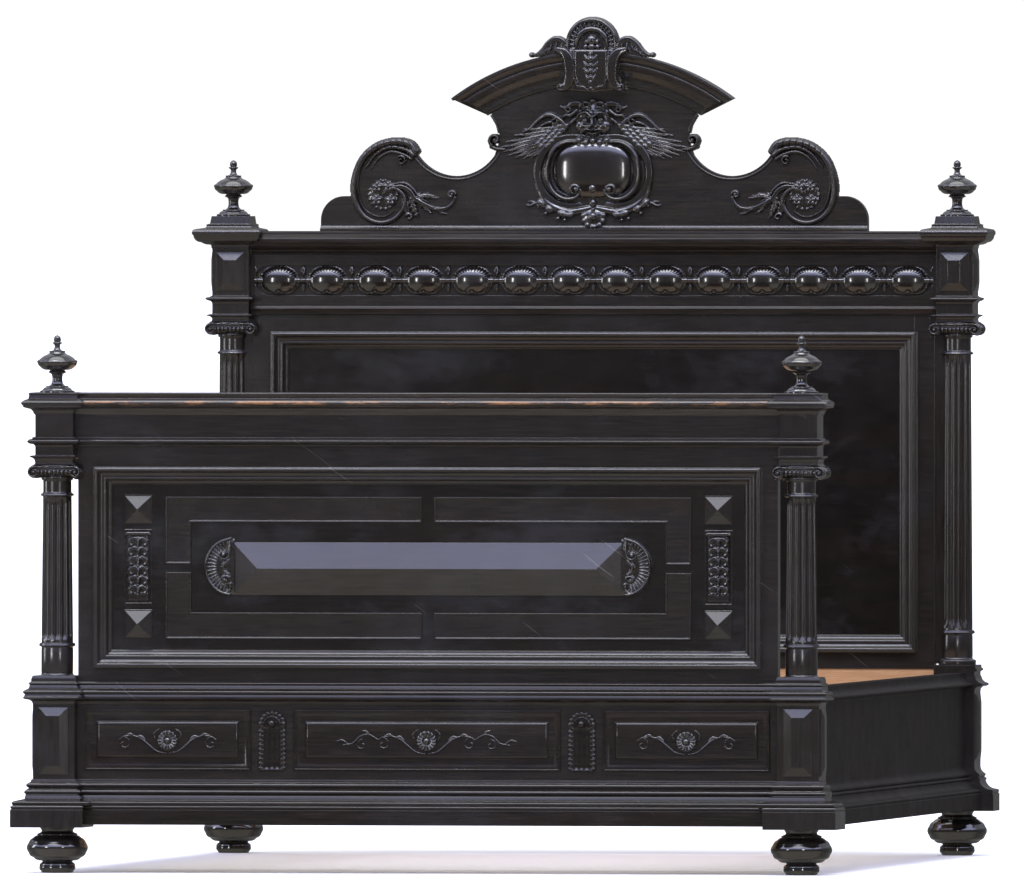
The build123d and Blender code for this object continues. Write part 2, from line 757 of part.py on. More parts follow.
head_frame, head_panel = panel_frame(HEAD_Y, BLOCK_GAP - 3, (398, 1154), PANEL_Z_HEAD)
keep(notched(head_frame, HEAD_Y, (1109, 1154)), "headboard_frame")
keep(head_panel, "headboard_panel")
keep(mitred_frame(HEAD_Y - FRAME_THICK / 2, HEAD_Y - PANEL_THICK / 2, PANEL_HALF - 4, PANEL_Z_HEAD,
                  MOULDING_STEPS, 9), "headboard_panel_moulding")
keep(group([
    board((-BLOCK_GAP, BLOCK_GAP), (HEAD_Y - 12, HEAD_Y + 12), (108, 348)),
    board((-BLOCK_GAP, BLOCK_GAP), (HEAD_Y - 14, HEAD_Y + 14), (348, 398)),
]), "headboard_bare_boards")
head_face = HEAD_Y - NECK_HALF + SET_BACK
with BuildPart() as frieze:
    add(board((-NECK_RUN, NECK_RUN), (head_face, HEAD_Y + 16), (1154, 1283)))
    with BuildSketch(Plane((0, head_face, 1227.5), x_dir=(1, 0, 0), z_dir=(0, -1, 0))):
        SlotOverall(1470, 65)
    extrude(amount=-5, mode=Mode.SUBTRACT)
keep(coped(frieze.part, necks), "headboard_frieze")
gadroons = []
for count in range(GADROONS):
    with BuildPart() as egg:
        middle = (count - (GADROONS - 1) / 2) * 105
        with BuildSketch(Plane((middle, head_face + 5, 1227.5), x_dir=(1, 0, 0), z_dir=(0, -1, 0))):
            Ellipse(40, 29.5)
        extrude(amount=14)
        fillet(egg.edges().group_by(Axis.Y)[0], 9)
    gadroons.append(egg.part)
keep(group(gadroons), "headboard_egg_moulding")
HEAD_RAIL_CORNICE = [(0, 1283, 0), (4, 1287, -0.15), (6, 1294, 0), (24, 1303, 0.12), (31, 1316, 0.1),
                     (29, 1330, 0.2), (0, 1330, 0)]
HEAD_ARCHITRAVE = [(0, 1154, 0), (5, 1160, -0.1), (8, 1166, 0.3), (8, 1171, 0.4), (0, 1174, 0)]
cap_reach = 0.8 * max(r for r, _, _ in HEAD_CORNICE_STEPS) + 4
cap_ends = [
    board(sorted((side * (NECK_GAP - cap_reach - 0.3), side * 800)), (HEAD_Y - 200, HEAD_Y + 200), (1296, 1400))
    for side in BOTH
]
keep(group([
    coped(long_moulding(NECK_RUN, head_face, HEAD_Y + 16, HEAD_RAIL_CORNICE), cap_ends),
    coped(long_moulding(NECK_RUN, head_face, head_face, HEAD_ARCHITRAVE), necks),
]), "headboard_cornice")


# Crest ---------------------------------------------------------------------------------------

CREST_FOOT = 1330.0
CREST_FACE = HEAD_Y - 11
ARCH_Z = 1206.0
ARCH = (432.0, 508.0)
VOLUTE = ((429.5, 1427.0, 97.5), (465.0, 1405.0, 58.0))
VOID = (299.0, 1552.0, 101.0)


def on_circle(circle, angle):
    x, z, r = circle
    return x + r * math.cos(math.radians(angle)), z + r * math.sin(math.radians(angle))


def crest_half(side):
    """One half of the crest board's outline, from the foot up to the middle of its top."""
    def at(x, z):
        return side * x, z

    ThreePointArc(at(593, 1356), at(579, 1392), at(541, 1408))
    Line(at(541, 1408), at(526, 1408))
    volute_start = on_circle(VOLUTE[0], math.degrees(math.asin(-19 / 97.5)))
    volute_top = on_circle(VOLUTE[0], 115)
    Line(at(526, 1408), at(*volute_start))
    ThreePointArc(at(*volute_start), at(*on_circle(VOLUTE[0], 50)), at(*volute_top))
    void_start, void_end = on_circle(VOID, 332), on_circle(VOID, 214)
    Line(at(*volute_top), at(*void_start))
    ThreePointArc(at(*void_start), at(*on_circle(VOID, 270)), at(*void_end))
    Line(at(*void_end), at(205, 1526))
    ThreePointArc(at(205, 1526), at(208, 1554), at(222, 1582))
    top_radius = 450.0
    top_start = (222, ARCH_Z + math.sqrt(top_radius**2 - 222**2))
    top_middle = (122, ARCH_Z + math.sqrt(top_radius**2 - 122**2))
    Line(at(222, 1582), at(*top_start))
    ThreePointArc(at(*top_start), at(*top_middle), at(0, ARCH_Z + top_radius))
    Line(at(593, CREST_FOOT), at(593, 1356))


with BuildPart() as crest:
    with BuildSketch(Plane((0, CREST_FACE, 0), x_dir=(1, 0, 0), z_dir=(0, -1, 0))):
        with BuildLine() as outline:
            crest_half(1)
            crest_half(-1)
            Line((-593, CREST_FOOT), (593, CREST_FOOT))
        make_face(outline.edges())
    extrude(amount=-22)
keep(crest.part, "crest_board")
keep(long_moulding(593, CREST_FACE, CREST_FACE, [(12, 1330, 0), (12, 1338, 0), (4, 1345, -0.2), (0, 1345, 0)]),
     "crest_plinth")
outer_bands = carved(CREST_FACE, [("ring", 8, (*VOLUTE[0][:2], 97, 84))], pair=True)
below_bands = board((-600, 600), (CREST_FACE - 50, CREST_FACE + 50), (1300, 1412))
scrolls = group([
    *(coped(band, [below_bands]) for band in outer_bands.solids()),
    carved(CREST_FACE, [("oval", 13, (398, 1507, 24, 16, 25))], pair=True),
    carved(CREST_FACE, [("ring", 9, (214, 1526, 15, 6))], pair=True),
    carved(CREST_FACE, [("ring", 10, (*VOLUTE[1][:2], 58, 45))], pair=True),
])
with BuildPart() as joined_scrolls:
    for piece in scrolls.solids():
        add(piece)
keep(joined_scrolls.part, "crest_scrolls")

arches = []
for side in BOTH:
    for low, high, out in ((432, 508, 14), (452, 508, 22), (470, 484, 28), (488, 508, 30)):
        with BuildPart() as arch:
            with BuildSketch(Plane((0, 0, ARCH_Z), x_dir=(0, -1, 0), z_dir=(-1, 0, 0))) as section:
                with Locations((-CREST_FACE + out / 2 - 11, (low + high) / 2)):
                    Rectangle(out + 22, high - low)
            revolve(axis=Axis((0, 0, ARCH_Z), (0, side, 0)), revolution_arc=29)
        arches.append((side, arch.part.rotate(Axis((0, 0, ARCH_Z), (0, 1, 0)), side * 7.6)))
halves = []
for side in BOTH:
    with BuildPart() as half:
        for which, piece in arches:
            if which == side:
                add(piece)
        add(crest.part, mode=Mode.SUBTRACT)
    halves.append(half.part)
keep(group(halves), "crest_arches")
with BuildPart() as keystone:
    with BuildSketch(Plane((0, CREST_FACE - 36, 0), x_dir=(1, 0, 0), z_dir=(0, -1, 0))):
        with BuildLine() as outline:
            Polyline((-69, 1721), (69, 1721), (52, 1634), (30, 1629), (-30, 1629), (-52, 1634), close=True)
        make_face(outline.edges())
    extrude(amount=-58)
    with BuildSketch(Plane((0, CREST_FACE - 36, 0), x_dir=(1, 0, 0), z_dir=(0, -1, 0))):
        with BuildLine() as outline:
            Polyline((-33, 1708), (33, 1708), (26, 1650), (0, 1636), (-26, 1650), close=True)
        make_face(outline.edges())
    extrude(amount=6)
    for piece in (crest.part, *halves):
        add(piece, mode=Mode.SUBTRACT)
keep(max(keystone.part.solids(), key=lambda solid: solid.volume), "crest_keystone")
with BuildPart() as shell:
    with BuildSketch(Plane((0, HEAD_Y - 36, 1733), x_dir=(1, 0, 0), z_dir=(0, -1, 0))):
        Circle(46)
        with PolarLocations(45, 9, start_angle=-20, angular_range=220, endpoint=True):
            Circle(11.5)
        with Locations((0, -36)):
            Rectangle(120, 48, mode=Mode.SUBTRACT)
    extrude(amount=-20)
    with BuildSketch(Plane((0, HEAD_Y - 36, 1733), x_dir=(1, 0, 0), z_dir=(0, -1, 0))):
        with Locations((0, -4)):
            Circle(12)
    extrude(amount=5)
keep(coped(shell.part, [keystone.part]), "crest_shell")
leaves = []
for side in BOTH:
    with BuildPart() as leaf:
        with BuildSketch(Plane((0, HEAD_Y - 40, 0), x_dir=(side, 0, 0), z_dir=(0, -side, 0))):
            with BuildLine() as outline:
                Polyline((70, 1722), (112, 1716), (134, 1712), (128, 1727), (108, 1730), (100, 1741),
                         (82, 1738), (70, 1742), (62, 1737), (62, 1724), close=True)
            make_face(outline.edges())
        extrude(amount=-side * 20)
        for piece in (*halves, keystone.part, shell.part):
            add(piece, mode=Mode.SUBTRACT)
    leaves.append(max(leaf.part.solids(), key=lambda solid: solid.volume))
keep(group(leaves), "crest_acanthus_leaves")
keep(group([
    carved(CREST_FACE, [
        ("oval", 9, (0, 1456, 112, 66, 0)),
        ("oval", 15, (0, 1456, 92, 54, 0)),
        ("oval", 22, (0, 1457, 72, 42, 0)),
        ("corners", 14, [(-26, 1412), (26, 1412), (14, 1362), (0, 1349), (-14, 1362)]),
        ("corners", 10, [(-26, 1512), (26, 1512), (34, 1528), (-34, 1528)]),
    ]),
    carved(CREST_FACE, [("corners", 7, [(60, 1398), (74, 1388), (140, 1374), (134, 1366), (66, 1372),
                                        (40, 1386)])], pair=True),
]), "crest_cartouche")
keep(carved(CREST_FACE, [
    ("oval", 12, (0, 1573, 50, 39, 0)),
    ("oval", 22, (0, 1576, 40, 34, 0)),
    ("oval", 30, (0, 1566, 14, 20, 0)),
    ("corners", 10, [(-40, 1590), (-72, 1606), (-60, 1580), (-46, 1568)]),
    ("corners", 10, [(40, 1590), (72, 1606), (60, 1580), (46, 1568)]),
]), "crest_mask")
keep(carved(CREST_FACE, [
    ("oval", 8 + 1.2 * count, (118 + 4 * count, 1510 + 12 * count, 66 - 2 * count, 11, -14 + 12 * count))
    for count in range(5)
], pair=True), "crest_wings")
clusters = carved(CREST_FACE, [("oval", 8, (459, 1408, 30, 30, 0))], pair=True)
sprays = carved(CREST_FACE, [
    ("oval", 7, (365, 1396, 40, 11, -12)),
    ("oval", 7, (346, 1420, 30, 10, 40)),
    ("ring", 7, (312, 1404, 22, 9)),
], pair=True)
keep(group([
    clusters,
    *(coped(spray, joined_scrolls.part.solids()) for spray in sprays.solids()),
    *(rosette(side * (459 + 17 * math.cos(turn)), 1408 + 17 * math.sin(turn), CREST_FACE - 8, 12, 6)
      for side in BOTH for turn in (0.5, 2.6, 4.7)),
]), "crest_foliage")


# Side rails and slats ------------------------------------------------------------------------

RAIL_Y = (FOOT_Y + POST_HALF + FIT, HEAD_Y - POST_HALF - FIT)
RAIL_FACE = POST_X + POST_HALF - SET_BACK
RAIL_INNER = RAIL_FACE - 30
HOOK_REACH = 24.0
HOOK_Z = (128.0, 348.0)
hooks, ledges = [], []
for side in BOTH:
    middle = (RAIL_Y[0] + RAIL_Y[1]) / 2
    half = (RAIL_Y[1] - RAIL_Y[0]) / 2
    with BuildPart() as rail:
        for steps in (RAIL_BASE_STEPS, STRING_STEPS):
            with BuildSketch(Plane((0, middle, 0), x_dir=(side, 0, 0), z_dir=(0, -side, 0))):
                closed_run(shifted(steps, RAIL_FACE), RAIL_INNER)
            extrude(amount=half, both=True)
        with BuildSketch(Plane((0, middle, 0), x_dir=(side, 0, 0), z_dir=(0, -side, 0))):
            with Locations(((RAIL_FACE + RAIL_INNER) / 2, (101 + 390) / 2)):
                Rectangle(30, 289)
        extrude(amount=half, both=True)
        for end_y in RAIL_Y:
            with Locations((side * POST_X, end_y, sum(HOOK_Z) / 2)):
                Box(6.2, 110, HOOK_Z[1] - HOOK_Z[0] + 0.2, mode=Mode.SUBTRACT)
    keep(rail.part, f"side_rail_{NAMES[side]}")
    for end_y, out in zip(RAIL_Y, BOTH):
        low, high = HOOK_Z
        outline = [(-54, low), (-54, high), (HOOK_REACH, high)]
        for pin in reversed(PIN_HEIGHTS):
            top = pin + PIN_RADIUS + 0.5
            bottom = pin - 13
            outline += [(HOOK_REACH, bottom), (13.5 + PIN_RADIUS + 1.2, bottom),
                        (13.5 + PIN_RADIUS + 1.2, top), (13.5 - PIN_RADIUS - 1.2, top),
                        (13.5 - PIN_RADIUS - 1.2, bottom), (-1, bottom)]
            if pin == max(PIN_HEIGHTS):
                outline += [(-1, min(PIN_HEIGHTS) + 22), (HOOK_REACH, min(PIN_HEIGHTS) + 22)]
        outline.append((-1, low))
        with BuildPart() as hook:
            with BuildSketch(Plane((side * POST_X, end_y, 0), x_dir=(0, out, 0), z_dir=(out, 0, 0))):
                with BuildLine() as shape:
                    Polyline(*outline, close=True)
                make_face(shape.edges())
            extrude(amount=3, both=True)
        hooks.append(hook.part)
    inner = side * RAIL_INNER
    ledges.append(board(sorted((inner, inner - side * 26)), (RAIL_Y[0] + 8, RAIL_Y[1] - 8), (194, 220)))
keep(group(hooks), "side_rail_hooks")
keep(group(ledges), "side_rail_ledges")
SLAT_HALF = RAIL_INNER - 3
pitch = (RAIL_Y[1] - RAIL_Y[0] - 220) / (SLAT_COUNT - 1)
slats = []
for count in range(SLAT_COUNT):
    middle = RAIL_Y[0] + 110 + pitch * count
    slats.append(board((-SLAT_HALF, SLAT_HALF), (middle - 45, middle + 45), (220.4, SLAT_TOP)))
with BuildPart() as tapes:
    for side in BOTH:
        with BuildSketch(Plane.XY.offset(SLAT_TOP)):
            with Locations((side * 520, 0)):
                Rectangle(30, 2 * 900)
        extrude(amount=2)
keep(group(slats), "slats")
keep(tapes.part, "slat_tapes")
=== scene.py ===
import json
import math
from functools import cached_property

import bmesh
import bpy
import numpy as np
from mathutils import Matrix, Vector


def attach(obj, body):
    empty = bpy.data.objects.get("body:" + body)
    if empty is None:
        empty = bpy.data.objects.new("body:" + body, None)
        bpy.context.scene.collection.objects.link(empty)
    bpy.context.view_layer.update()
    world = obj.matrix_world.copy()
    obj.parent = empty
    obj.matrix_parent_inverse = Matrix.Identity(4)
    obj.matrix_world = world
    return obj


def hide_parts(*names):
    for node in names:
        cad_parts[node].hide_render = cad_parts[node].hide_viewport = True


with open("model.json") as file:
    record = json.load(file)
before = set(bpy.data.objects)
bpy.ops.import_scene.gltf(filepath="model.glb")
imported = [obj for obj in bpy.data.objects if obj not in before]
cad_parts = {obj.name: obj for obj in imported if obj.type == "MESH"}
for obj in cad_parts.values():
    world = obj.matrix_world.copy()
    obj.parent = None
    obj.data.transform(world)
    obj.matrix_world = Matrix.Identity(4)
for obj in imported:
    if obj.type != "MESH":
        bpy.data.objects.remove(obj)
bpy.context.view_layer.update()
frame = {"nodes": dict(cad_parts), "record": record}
MM = 0.001
BOTH = (-1, 1)
SIDES = ((-1, "left"), (1, "right"))
PLACES = {mount["name"]: mount["pos_m"] for mount in frame["record"]["mounts"]}
POST_X, FOOT_Y, _ = (value / MM for value in PLACES["floor_foot_right"])
HEAD_Y = PLACES["floor_head_left"][1] / MM


# Materials --------------------------------------------------------------------------------------

GRAIN = {"x": (1.6, 34, 34), "y": (34, 1.6, 34), "z": (34, 34, 1.6)}
EVEN = (1, 1, 1)
BLACK = (0, 0, 0)


class Tree:
    """A node tree, with short ways to add nodes to it."""

    def __init__(self, owner, place="Object"):
        owner.use_nodes = True
        self.owner, self.place = owner, place
        self.nodes, self.links = owner.node_tree.nodes, owner.node_tree.links

    @cached_property
    def coords(self):
        """Where a point lies on its object, or the direction in a world."""
        return self.add("TexCoord", self.place, {})

    def put(self, node, inputs):
        """Links the inputs that are sockets and sets the others."""
        for name, value in inputs.items():
            if isinstance(value, bpy.types.NodeSocket):
                self.links.new(value, node.inputs[name])
            else:
                node.inputs[name].default_value = value

    def add(self, kind, output, inputs, **settings):
        """A new node's output socket."""
        node = self.nodes.new("ShaderNode" + kind)
        for name, value in settings.items():
            setattr(node, name, value)
        self.put(node, inputs)
        return node.outputs[output]

    def noise(self, stretch, scale, detail=6.0, rough=0.6, turn=BLACK):
        """Noise on the object's coordinates, which are turned before they are stretched."""
        placed = self.add("Mapping", "Vector", {
            "Vector": self.coords, "Scale": [1 / value for value in stretch], "Rotation": turn,
        }, vector_type="TEXTURE")
        values = {"Vector": placed, "Scale": scale, "Detail": detail, "Roughness": rough}
        return self.add("TexNoise", "Fac", values)

    def ramp(self, factor, *stops):
        """A colour ramp over a factor, from (position, colour or grey) stops."""
        node = self.nodes.new("ShaderNodeValToRGB")
        points = node.color_ramp.elements
        while len(points) < len(stops):
            points.new(0.5)
        for point, (position, colour) in zip(points, stops):
            point.position = position
            rgb = (colour, colour, colour) if isinstance(colour, float) else colour
            point.color = (*rgb, 1)
        self.links.new(factor, node.inputs["Fac"])
        return node.outputs["Color"]

    def mix(self, factor, first, second):
        """The mix of two colours by a factor."""
        first, second = ((*value, 1) if isinstance(value, tuple) else value for value in (first, second))
        return self.add("Mix", "Result", {"Factor": factor, "A": first, "B": second}, data_type="RGBA")

    def bump(self, height, strength, distance, normal=None):
        """A bumped normal, over another normal if one is given."""
        inputs = {"Height": height, "Strength": strength, "Distance": distance}
        return self.add("Bump", "Normal", inputs if normal is None else {**inputs, "Normal": normal})

    def shade(self, **inputs):
        """Sets the Principled shader's inputs and returns the material. In names, _ is a space."""
        shader = self.nodes["Principled BSDF"]
        self.put(shader, {name.replace("_", " "): value for name, value in inputs.items()})
        return self.owner


def new_tree(name):
    """The tree of a new material."""
    return Tree(bpy.data.materials.new(name))


def ebony(name, along, gloss=0.2, brown=1.0, wear=0.35, dust_and_shade=0.0, coat=0.3, shine=0.5, depth=1.0,
          handled=None, lacquer=0.12, haze=0.25):
    """Ebonised wood: a thin black stain over brown grain, polished, rubbed brown on its edges.

    handled is the low and high end in metres of a band that hands have worn back to bare wood."""
    tree = new_tree(name)
    grain = tree.noise(GRAIN[along], 9.0)
    broad = tree.noise([value * 0.12 + 0.6 for value in GRAIN[along]], 2.2, 3.0)
    black = tuple(depth * value for value in (0.0052, 0.0047, 0.0044))
    warm = tuple(depth * brown * value for value in (0.016, 0.0115, 0.0086))
    patch = tuple(brown * value for value in (0.012, 0.0062, 0.0040))
    base = tree.mix(tree.ramp(grain, (0.38, 0.0), (0.72, 1.0)), black, warm)
    base = tree.mix(tree.ramp(broad, (0.5, 0.0), (0.85, 0.6)), base, patch)

    cloud = tree.noise((1.0, 1.0, 1.5), 3.1, 7.0, 0.68)
    base = tree.mix(tree.ramp(cloud, (0.5, 0.0), (0.74, haze)), base, (0.034, 0.034, 0.038))
    scratch = tree.noise((0.9, 1, 34), 5.0, 2.0, 0.5, turn=(0, 0.65, 0))
    scratch = tree.ramp(scratch, (0.735, 0.0), (0.76, 0.6))
    marked = tree.mix(scratch, BLACK, tree.ramp(cloud, (0.46, 0.0), (0.56, 1.0)))
    base = tree.mix(marked, base, (0.06, 0.055, 0.05))

    rounded = tree.add("Bevel", "Normal", {"Radius": 0.0013}, samples=4)
    geometry = tree.nodes.new("ShaderNodeNewGeometry")
    normals = {0: rounded, 1: geometry.outputs["Normal"]}
    facing = tree.add("VectorMath", "Value", normals, operation="DOT_PRODUCT")
    edge = tree.ramp(facing, (0.90, 1.0), (0.985, 0.0))
    rub = tree.ramp(tree.noise(EVEN, 26.0, 4.0), (0.5, 0.0), (0.68, wear))
    base = tree.mix(tree.mix(rub, BLACK, edge), base, (0.085, 0.046, 0.022))
    # Hollows, found by low pointiness, take a near-black colour: partly dust, partly painted shade in the
    # hollows.
    if dust_and_shade:
        hollow = tree.ramp(geometry.outputs["Pointiness"], (0.40, 1.0), (0.49, 0.0))
        base = tree.mix(hollow, base, (dust_and_shade, dust_and_shade * 0.92, dust_and_shade * 0.82))
    if handled:
        low, high = handled
        height = tree.add("SeparateXYZ", "Z", {"Vector": tree.coords})
        fade = 0.002
        band = tree.ramp(height, (low, 0.0), (low + fade, 1.0), (high - fade, 1.0), (high, 0.0))
        touched = tree.ramp(tree.noise((1.3, 6, 9), 9.0, 10.0, 0.8), (0.5, 0.0), (0.58, 1.0))
        base = tree.mix(tree.mix(touched, BLACK, band), base, (0.20, 0.085, 0.024))

    rough = tree.ramp(tree.noise((3, 3, 3), 5.0, 5.0), (0.3, gloss), (0.75, gloss + 0.09))
    normal = tree.bump(grain, 0.10, 0.0006, rounded)
    return tree.shade(Base_Color=base, Roughness=rough, Normal=normal, Coat_Normal=normal,
                      Specular_IOR_Level=shine, Coat_Weight=coat, Coat_Roughness=lacquer)


def bare_wood(name, along, pale, dark, stain):
    """Unfinished wood: long grain, darker streaks, blotches and a dry rough surface."""
    tree = new_tree(name)
    fine = tree.noise([value * 1.4 for value in GRAIN[along]], 12.0, 8.0)
    wide = tree.noise([value * 0.22 + 0.3 for value in GRAIN[along]], 3.0, 4.0)
    base = tree.mix(tree.ramp(fine, (0.35, 0.0), (0.7, 1.0)), pale, dark)
    base = tree.mix(tree.ramp(wide, (0.5, 0.0), (0.8, 0.8)), base, stain)
    return tree.shade(Base_Color=base, Roughness=tree.ramp(fine, (0.2, 0.55), (0.8, 0.8)),
                      Normal=tree.bump(fine, 0.35, 0.0008))


def iron(name):
    """Oiled black iron with spots of rust."""
    tree = new_tree(name)
    spots = tree.noise(EVEN, 90.0, 6.0)
    rust = tree.ramp(spots, (0.52, 0.0), (0.68, 0.8))
    base = tree.mix(rust, (0.055, 0.05, 0.048), (0.16, 0.062, 0.026))
    rough = tree.ramp(spots, (0.3, 0.38), (0.7, 0.75))
    return tree.shade(Base_Color=base, Metallic=0.75, Roughness=rough, Normal=tree.bump(spots, 0.3, 0.0006))


def webbing(name):
    """Flat woven tape."""
    tree = new_tree(name)
    weave = tree.add("TexWave", "Fac", {"Scale": 160.0, "Distortion": 0.6, "Vector": tree.coords},
                     wave_type="BANDS", bands_direction="DIAGONAL")
    dirt = tree.ramp(tree.noise(EVEN, 14.0, 5.0), (0.5, 0.0), (0.8, 0.6))
    base = tree.mix(tree.ramp(weave, (0.3, 0.0), (0.7, 1.0)), (0.46, 0.39, 0.28), (0.60, 0.53, 0.40))
    return tree.shade(Base_Color=tree.mix(dirt, base, (0.3, 0.25, 0.18)), Roughness=0.9,
                      Normal=tree.bump(weave, 0.5, 0.0006))


ACROSS = ebony("ebony_across", "x")
ALONG = ebony("ebony_along", "y", gloss=0.45, coat=0.0, shine=0.12)
UPRIGHT = ebony("ebony_upright", "z", gloss=0.19, lacquer=0.15)
MOULDED = ebony("ebony_moulded", "x", gloss=0.15, coat=0.2, shine=0.3, lacquer=0.07)
PANEL = ebony("ebony_panel", "x", gloss=0.17, brown=0.85, wear=0.1, coat=0.35, depth=0.55, haze=0.5)
POLISHED = ebony("ebony_polished", "z", gloss=0.11, brown=0.7, wear=0.2, coat=0.9, lacquer=0.06)
# The carved pieces get a near-black colour in their hollows: partly dust, partly painted shade.
CARVED = ebony("ebony_carved", "x", gloss=0.16, brown=0.75, wear=0.2, dust_and_shade=0.008, coat=1.0, lacquer=0.07)
CREST = ebony("ebony_crest", "x", gloss=0.22, brown=1.15, wear=0.3, coat=0.3)
SHELF = ebony("ebony_shelf", "x", gloss=0.3, brown=1.4, coat=0.05, shine=0.2)
HANDLED = ebony("ebony_handled", "x", brown=1.5, wear=0.6, handled=(0.9755, 0.9835))
TAN = bare_wood("bare_wood", "x", (0.42, 0.235, 0.105), (0.30, 0.155, 0.062), (0.24, 0.115, 0.042))
SLAT = bare_wood("slat_wood", "x", (0.52, 0.35, 0.19), (0.40, 0.25, 0.12), (0.34, 0.2, 0.095))
LEDGE = bare_wood("ledge_wood", "y", (0.46, 0.29, 0.15), (0.34, 0.2, 0.09), (0.28, 0.155, 0.07))
IRON = iron("old_iron")
TAPE = webbing("woven_tape")


def dress(piece, material):
    """Gives a piece its one material."""
    piece.data.materials.clear()
    piece.data.materials.append(material)


# Mesh helpers -----------------------------------------------------------------------------------


def new_piece(name, part, material, stands_for, smooth=35):
    """A wooden piece of a bed end from (verts, faces) in mm, standing for a CAD node or for none.

    Edges sharper than smooth, in degrees, stay crisp."""
    verts, faces = part
    mesh = bpy.data.meshes.new(name)
    mesh.from_pydata((np.asarray(verts, float) * MM).tolist(), [], [list(map(int, face)) for face in faces])
    mesh.validate()
    edit = bmesh.new()
    edit.from_mesh(mesh)
    bmesh.ops.recalc_face_normals(edit, faces=edit.faces)
    edit.to_mesh(mesh)
    edit.free()
    mesh.shade_smooth()
    mesh.set_sharp_from_angle(angle=math.radians(smooth))
    piece = bpy.data.objects.new(name, mesh)
    bpy.context.scene.collection.objects.link(piece)
    dress(piece, material)
    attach(piece, "bed_ends")
    if stands_for:
        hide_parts(stands_for)


def skin(rings, around, ends="capped"):
    """Faces over rings of points. The two ends are capped, or left open, or joined to each other."""
    total = rings * around
    faces = []
    for start in range(0, total if ends == "joined" else total - around, around):
        after = (start + around) % total
        for spot in range(around):
            turn = (spot + 1) % around
            faces.append((start + spot, start + turn, after + turn, after + spot))
    if ends == "capped":
        faces += [tuple(range(around))[::-1], tuple(range(total - around, total))]
    return faces


def joined(parts):
    """Several (verts, faces) as one."""
    verts, faces, start = [], [], 0
    for part_verts, part_faces in parts:
        part_verts = np.asarray(part_verts, float)
        verts.append(part_verts)
        faces += [[index + start for index in face] for face in part_faces]
        start += len(part_verts)
    return np.concatenate(verts), faces


def mirrored(part):
    """(verts, faces) reflected in the plane x = 0."""
    verts, faces = part
    return np.asarray(verts, float) * (-1, 1, 1), [face[::-1] for face in faces]


def both_sides(part):
    """A part and its reflection, sewn together where the part ends on the plane x = 0."""
    verts, faces = joined([part, mirrored(part)])
    half = len(verts) // 2
    middle = np.abs(verts[:, 0]) < 1e-6
    target = np.arange(len(verts))
    target[half:][middle[half:]] -= half
    kept = [[int(target[index]) for index in face] for face in faces if not middle[face].all()]
    used = np.unique(target)
    place = np.zeros(len(verts), int)
    place[used] = np.arange(len(used))
    return verts[used], [[int(place[index]) for index in face] for face in kept]


def moved(part, offset):
    """(verts, faces) shifted by an offset."""
    verts, faces = part
    return np.asarray(verts, float) + np.asarray(offset, float), faces


def smooth_line(points, spacing):
    """Points along a Catmull-Rom curve through rows of numbers, about spacing apart."""
    rows = np.asarray(points, float)
    rows = np.concatenate([2 * rows[:1] - rows[1:2], rows, 2 * rows[-1:] - rows[-2:-1]])
    out = []
    for a, b, c, d in zip(rows, rows[1:], rows[2:], rows[3:]):
        count = max(2, int(np.hypot(*(c - b)[:2]) / spacing))
        t = np.linspace(0, 1, count, endpoint=False)[:, None]
        square, cube = 2 * a - 5 * b + 4 * c - d, 3 * b - a - 3 * c + d
        out.append(0.5 * (2 * b + (c - a) * t + square * t**2 + cube * t**3))
    return np.concatenate([*out, rows[-2:-1]])


def lathe(x, y, outline, turns, cut=None):
    """A turned surface about the upright line at x, y, from (radius, height) rows.

    cut gives how much is taken off the radius at (height, angles)."""
    angles = np.linspace(0, 2 * math.pi, turns, endpoint=False)
    rings = []
    for radius, z in outline:
        radii = radius - (cut(z, angles) if cut else 0 * angles)
        ring = [x + radii * np.cos(angles), y + radii * np.sin(angles), 0 * angles + z]
        rings.append(np.column_stack(ring))
    return np.concatenate(rings), skin(len(outline), turns)


def bulged(steps, count=7):
    """An outline from (radius, height, bulge) steps: over 0 swells out, under 0 hollows in."""
    rows = [steps[0][:2]]
    for (r0, z0, _), (r1, z1, bulge) in zip(steps, steps[1:]):
        chord = math.hypot(r1 - r0, z1 - z0)
        if bulge and chord > 0:
            out = ((z1 - z0) / chord, -(r1 - r0) / chord)
            for share in np.linspace(0, 1, count)[1:-1]:
                lift = bulge * chord * 4 * share * (1 - share)
                rows.append((r0 + (r1 - r0) * share + out[0] * lift, z0 + (z1 - z0) * share + out[1] * lift))
        rows.append((r1, z1))
    return [(max(r, 0.01), z) for r, z in rows]


# Carved relief ----------------------------------------------------------------------------------


